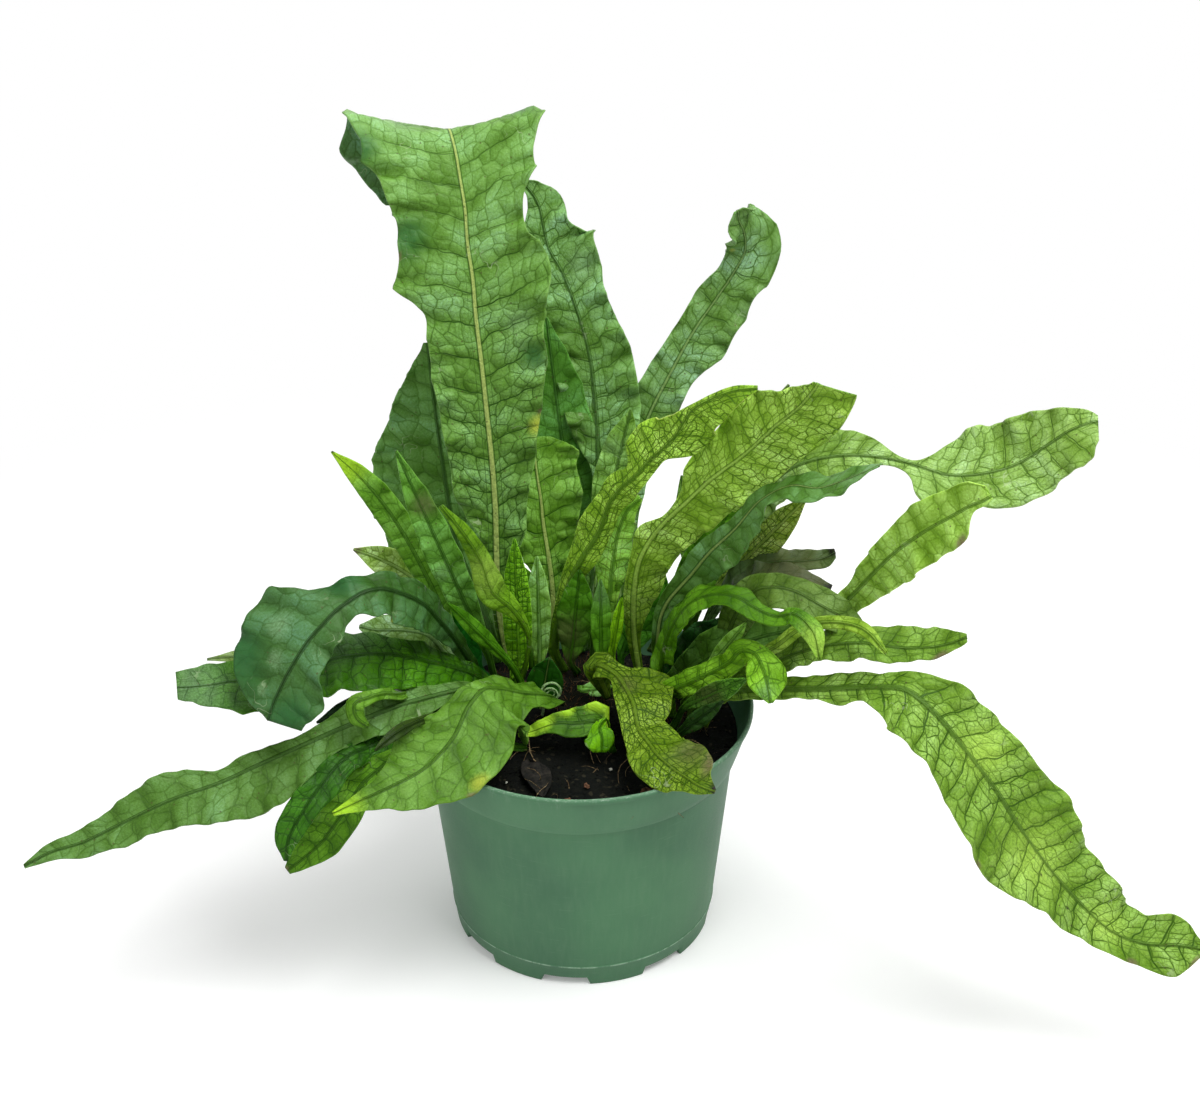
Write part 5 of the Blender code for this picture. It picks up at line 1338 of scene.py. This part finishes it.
def make_dead_leaf():
    """A shrivelled three-cornered leaf, brown and wrinkled, lying on the soil."""
    rows, columns = 30, 22
    points = []
    for i in range(rows + 1):
        share = i / rows
        width = 6.8 * math.sin(math.pi * min(1, share * 1.02) ** 0.75) ** 0.8 + 0.5
        for j in range(columns + 1):
            side = 2 * j / columns - 1
            x = -24 + 7 * share + side * width * (1.05 if side > 0 else 0.8)
            y = -33 - 27.5 * share
            z = SOIL_TOP + 2.2 - 1.4 * share + 1.3 * side**2
            z += 1.1 * lumps(x, y, 6, 4.4) + 0.5 * lumps(x, y, 2, 7)
            points.append((x * MM, y * MM, z * MM))
    mesh = bpy.data.meshes.new("dead_leaf_dry")
    mesh.from_pydata(points, [], sheet_faces(rows + 1, columns + 1).tolist())
    leaf = add_piece("dead_leaf_dry", mesh)
    shell = leaf.modifiers.new("shell", "SOLIDIFY")
    shell.thickness = 0.6 * MM
    shell.offset = 0
    leaf = settled(leaf)
    leaf.data.shade_smooth()
    leaf.data.materials.append(woody_material("dead_leaf", "0a0b0a", "2e2b26", 0.45, 0.6))
    finish_piece(leaf, "dead_leaf")


# ---------------------------------------------------------------- studio

CAMERA_PLACE = (0.0098, -0.7656, 0.6141)     # metres
LOOK_DOWN = 28.4                             # degrees
ROLL = -0.45                                 # degrees
LENS = 57                                    # millimetres
SENSOR = 36                                  # millimetres
FLOOR_HALF = 6.0                             # metres
LIT_SPOT = (0.0, 0.05, 0.2)

def make_stage(settings):
    """A white floor that keeps the plant's shadow, soft lamps, a pale world and the camera."""
    scene = bpy.context.scene
    scene.view_settings.view_transform = "Standard"
    size = FLOOR_HALF
    mesh = bpy.data.meshes.new("floor")
    corners = [(-size, -size, 0), (size, -size, 0), (size, size, 0), (-size, size, 0)]
    mesh.from_pydata(corners, [], [(0, 1, 2, 3)])
    floor = add_piece("floor", mesh)
    material, n, shader = new_material("floor", Roughness=0.9, Specular_IOR_Level=0.1)
    place = object_place(n)
    x, y, _ = n.split(place)
    away = distance_out(n, x, y)
    speck = n.noise(place, 0.02, 3.0).outputs["Fac"]
    shader.inputs["Base Color"].default_value = (0.86, 0.86, 0.86, 1)
    n.put(shader.inputs["Roughness"], n.ramp(speck, 0.3, 0.7, 0.85, 0.95))
    direct = seen_directly(n)
    plain = n.add("ShaderNodeEmission", {"Color": (1, 1, 1, 1), "Strength": 1.0})
    far = n.times(direct, n.ramp(away, settings.shadow_reach * 0.45 / MM, settings.shadow_reach / MM))
    raised = n.times(direct, settings.floor_lift)
    lift = n.add("ShaderNodeEmission", {"Color": (1, 1, 1, 1), "Strength": raised})
    lit = n.add("ShaderNodeAddShader", {0: shader.outputs[0], 1: lift.outputs[0]})
    blend = n.add("ShaderNodeMixShader", {0: far, 1: lit.outputs[0], 2: plain.outputs[0]})
    n.put(material.node_tree.nodes["Material Output"].inputs["Surface"], blend.outputs[0])
    mesh.materials.append(material)

    world = bpy.data.worlds.new("studio")
    scene.world = world
    world.use_nodes = True
    sky = Nodes(world.node_tree)
    direct = seen_directly(sky)
    background = world.node_tree.nodes["Background"]
    background.inputs["Color"].default_value = (1, 1, 1, 1)
    fill = sky.add("ShaderNodeMapRange", {0: direct, 1: 0.0, 2: 1.0, 3: settings.fill, 4: 1.0})
    sky.put(background.inputs["Strength"], fill.outputs[0])

    lamp("key_light", (0.45, -0.35, 1.4), LIT_SPOT, 0.8, settings.key)
    lamp("side_light", (-0.8, -0.7, 0.8), LIT_SPOT, 0.8, settings.key * 0.18)
    lamp("top_light", (0.1, 0.5, 1.4), (0.0, 0.1, 0.2), 1.0, settings.key * 0.45)

    camera = bpy.data.cameras.new("camera")
    camera.lens = LENS
    camera.sensor_width = SENSOR
    camera.clip_start = 0.01
    view = bpy.data.objects.new("camera", camera)
    scene.collection.objects.link(view)
    tilt = Matrix.Rotation(math.radians(90 - LOOK_DOWN), 4, "X")
    view.matrix_world = Matrix.Translation(CAMERA_PLACE) @ tilt @ Matrix.Rotation(math.radians(ROLL), 4, "Z")
    scene.camera = view


def lamp(name, place, target, size, power):
    light = bpy.data.lights.new(name, "AREA")
    light.size = size
    light.energy = power
    one = bpy.data.objects.new(name, light)
    bpy.context.scene.collection.objects.link(one)
    direction = Vector(target) - Vector(place)
    one.rotation_euler = direction.to_track_quat("-Z", "Y").to_euler()
    one.location = place


def finish_piece(piece, node):
    """Says which body a piece rides, and the node that it replaces, if any."""
    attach(piece, BODY)
    if node:
        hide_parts(node)


def colour_of(setting):
    return (*setting, 1.0)


# ---------------------------------------------------------------- add-on

class PotSettings(bpy.types.PropertyGroup):
    plastic: FloatVectorProperty(
        name="Plastic colour", description="Colour of the nursery pot", subtype="COLOR", size=3,
        min=0, max=1, default=colour("4f7d59")[:3])


class SoilSettings(bpy.types.PropertyGroup):
    soil: FloatVectorProperty(
        name="Soil colour", description="Darkest colour of the potting soil", subtype="COLOR", size=3,
        min=0, max=1, default=(0.0022, 0.003, 0.0027))
    crumbs: FloatProperty(
        name="Crumbs", description="Loose crumbs to each square metre of soil", min=0, default=90000)
    fibres: FloatProperty(
        name="Root fibres", description="Pale root hairs to each square metre of soil", min=0, default=9000)
    hairs: FloatProperty(
        name="Rhizome hairs", description="Brown hairs to each square metre of rhizome",
        min=0, default=160000)


class LeafSettings(bpy.types.PropertyGroup):
    leaf_step: FloatProperty(
        name="Mesh step", description="Size of a blade's faces", min=0.0008, default=0.0016,
        subtype="DISTANCE", unit="LENGTH", precision=4)
    rib_thickness: FloatProperty(
        name="Midrib thickness", description="Thickness of a frond along its midrib",
        min=0.0005, default=0.0022,
        subtype="DISTANCE", unit="LENGTH", precision=4)
    puff: FloatProperty(
        name="Puffing", description="How far the blades swell between their veins", min=0, max=3, default=1,
        subtype="FACTOR")


class StageSettings(bpy.types.PropertyGroup):
    key: FloatProperty(
        name="Key light", description="Power of the largest lamp", min=0, default=20, unit="POWER")
    fill: FloatProperty(
        name="Fill", description="Strength of the light from all round", min=0, default=0.24)
    floor_lift: FloatProperty(
        name="Floor lift", description="Brightness that the floor shows of its own",
        min=0, max=1, default=0.2)
    shadow_reach: FloatProperty(
        name="Shadow reach", description="Distance at which the floor has turned plain white",
        min=0.2, default=0.7,
        subtype="DISTANCE", unit="LENGTH")


class FernSettings(bpy.types.PropertyGroup):
    pot: PointerProperty(type=PotSettings)
    soil: PointerProperty(type=SoilSettings)
    leaf: PointerProperty(type=LeafSettings)
    stage: PointerProperty(type=StageSettings)


class FERN_OT_pot(bpy.types.Operator):
    """Makes the plastic nursery pot with its collar, lip, foot notches and drain holes"""
    bl_idname = "fern.make_pot"
    bl_label = "Make Pot"

    def execute(self, context):
        make_pot(context.scene.fern.pot)
        return {"FINISHED"}


class FERN_OT_soil(bpy.types.Operator):
    """Makes the soil with its crumbs, root fibres and chips"""
    bl_idname = "fern.make_soil"
    bl_label = "Make Soil"

    def execute(self, context):
        scatter_tree()
        make_soil(context.scene.fern.soil)
        return {"FINISHED"}


class FERN_OT_rhizomes(bpy.types.Operator):
    """Makes the creeping rhizomes and their hairs"""
    bl_idname = "fern.make_rhizomes"
    bl_label = "Make Rhizomes"

    def execute(self, context):
        make_rhizomes(context.scene.fern.soil)
        return {"FINISHED"}


class FERN_OT_fronds(bpy.types.Operator):
    """Makes every frond, with its veins, puffed cells and marks"""
    bl_idname = "fern.make_fronds"
    bl_label = "Make Fronds"

    def execute(self, context):
        leaf_relief_tree()
        leaf_colour_group()
        for name in FRONDS:
            make_frond(name, context.scene.fern.leaf)
        return {"FINISHED"}


class FERN_OT_young_and_dead(bpy.types.Operator):
    """Makes the coiled young frond and the dead leaf on the soil"""
    bl_idname = "fern.make_young_and_dead"
    bl_label = "Make Coiled Frond and Dead Leaf"

    def execute(self, context):
        make_fiddlehead()
        make_dead_leaf()
        return {"FINISHED"}


class FERN_OT_stage(bpy.types.Operator):
    """Makes the floor, world, lamps and camera"""
    bl_idname = "fern.make_stage"
    bl_label = "Make Stage"

    def execute(self, context):
        make_stage(context.scene.fern.stage)
        return {"FINISHED"}


OPERATORS = (FERN_OT_pot, FERN_OT_soil, FERN_OT_rhizomes, FERN_OT_fronds,
             FERN_OT_young_and_dead, FERN_OT_stage)


class FERN_PT_panel(bpy.types.Panel):
    bl_idname = "FERN_PT_panel"
    bl_label = "Potted Fern"
    bl_space_type = "VIEW_3D"
    bl_region_type = "UI"
    bl_category = "Fern"

    def draw(self, context):
        layout = self.layout
        settings = context.scene.fern
        for group in (settings.pot, settings.soil, settings.leaf, settings.stage):
            box = layout.box()
            for name in group.bl_rna.properties.keys():
                if name not in ("rna_type", "name"):
                    box.prop(group, name)
        for operator in OPERATORS:
            layout.operator(operator.bl_idname)


CLASSES = (PotSettings, SoilSettings, LeafSettings, StageSettings, FernSettings, *OPERATORS, FERN_PT_panel)


def register():
    for one in CLASSES:
        bpy.utils.register_class(one)
    bpy.types.Scene.fern = PointerProperty(type=FernSettings)


def unregister():
    del bpy.types.Scene.fern
    for one in reversed(CLASSES):
        bpy.utils.unregister_class(one)


def main():
    register()
    for operator in OPERATORS:
        group, name = operator.bl_idname.split(".")
        getattr(getattr(bpy.ops, group), name)()


if __name__ == "__main__":
    main()
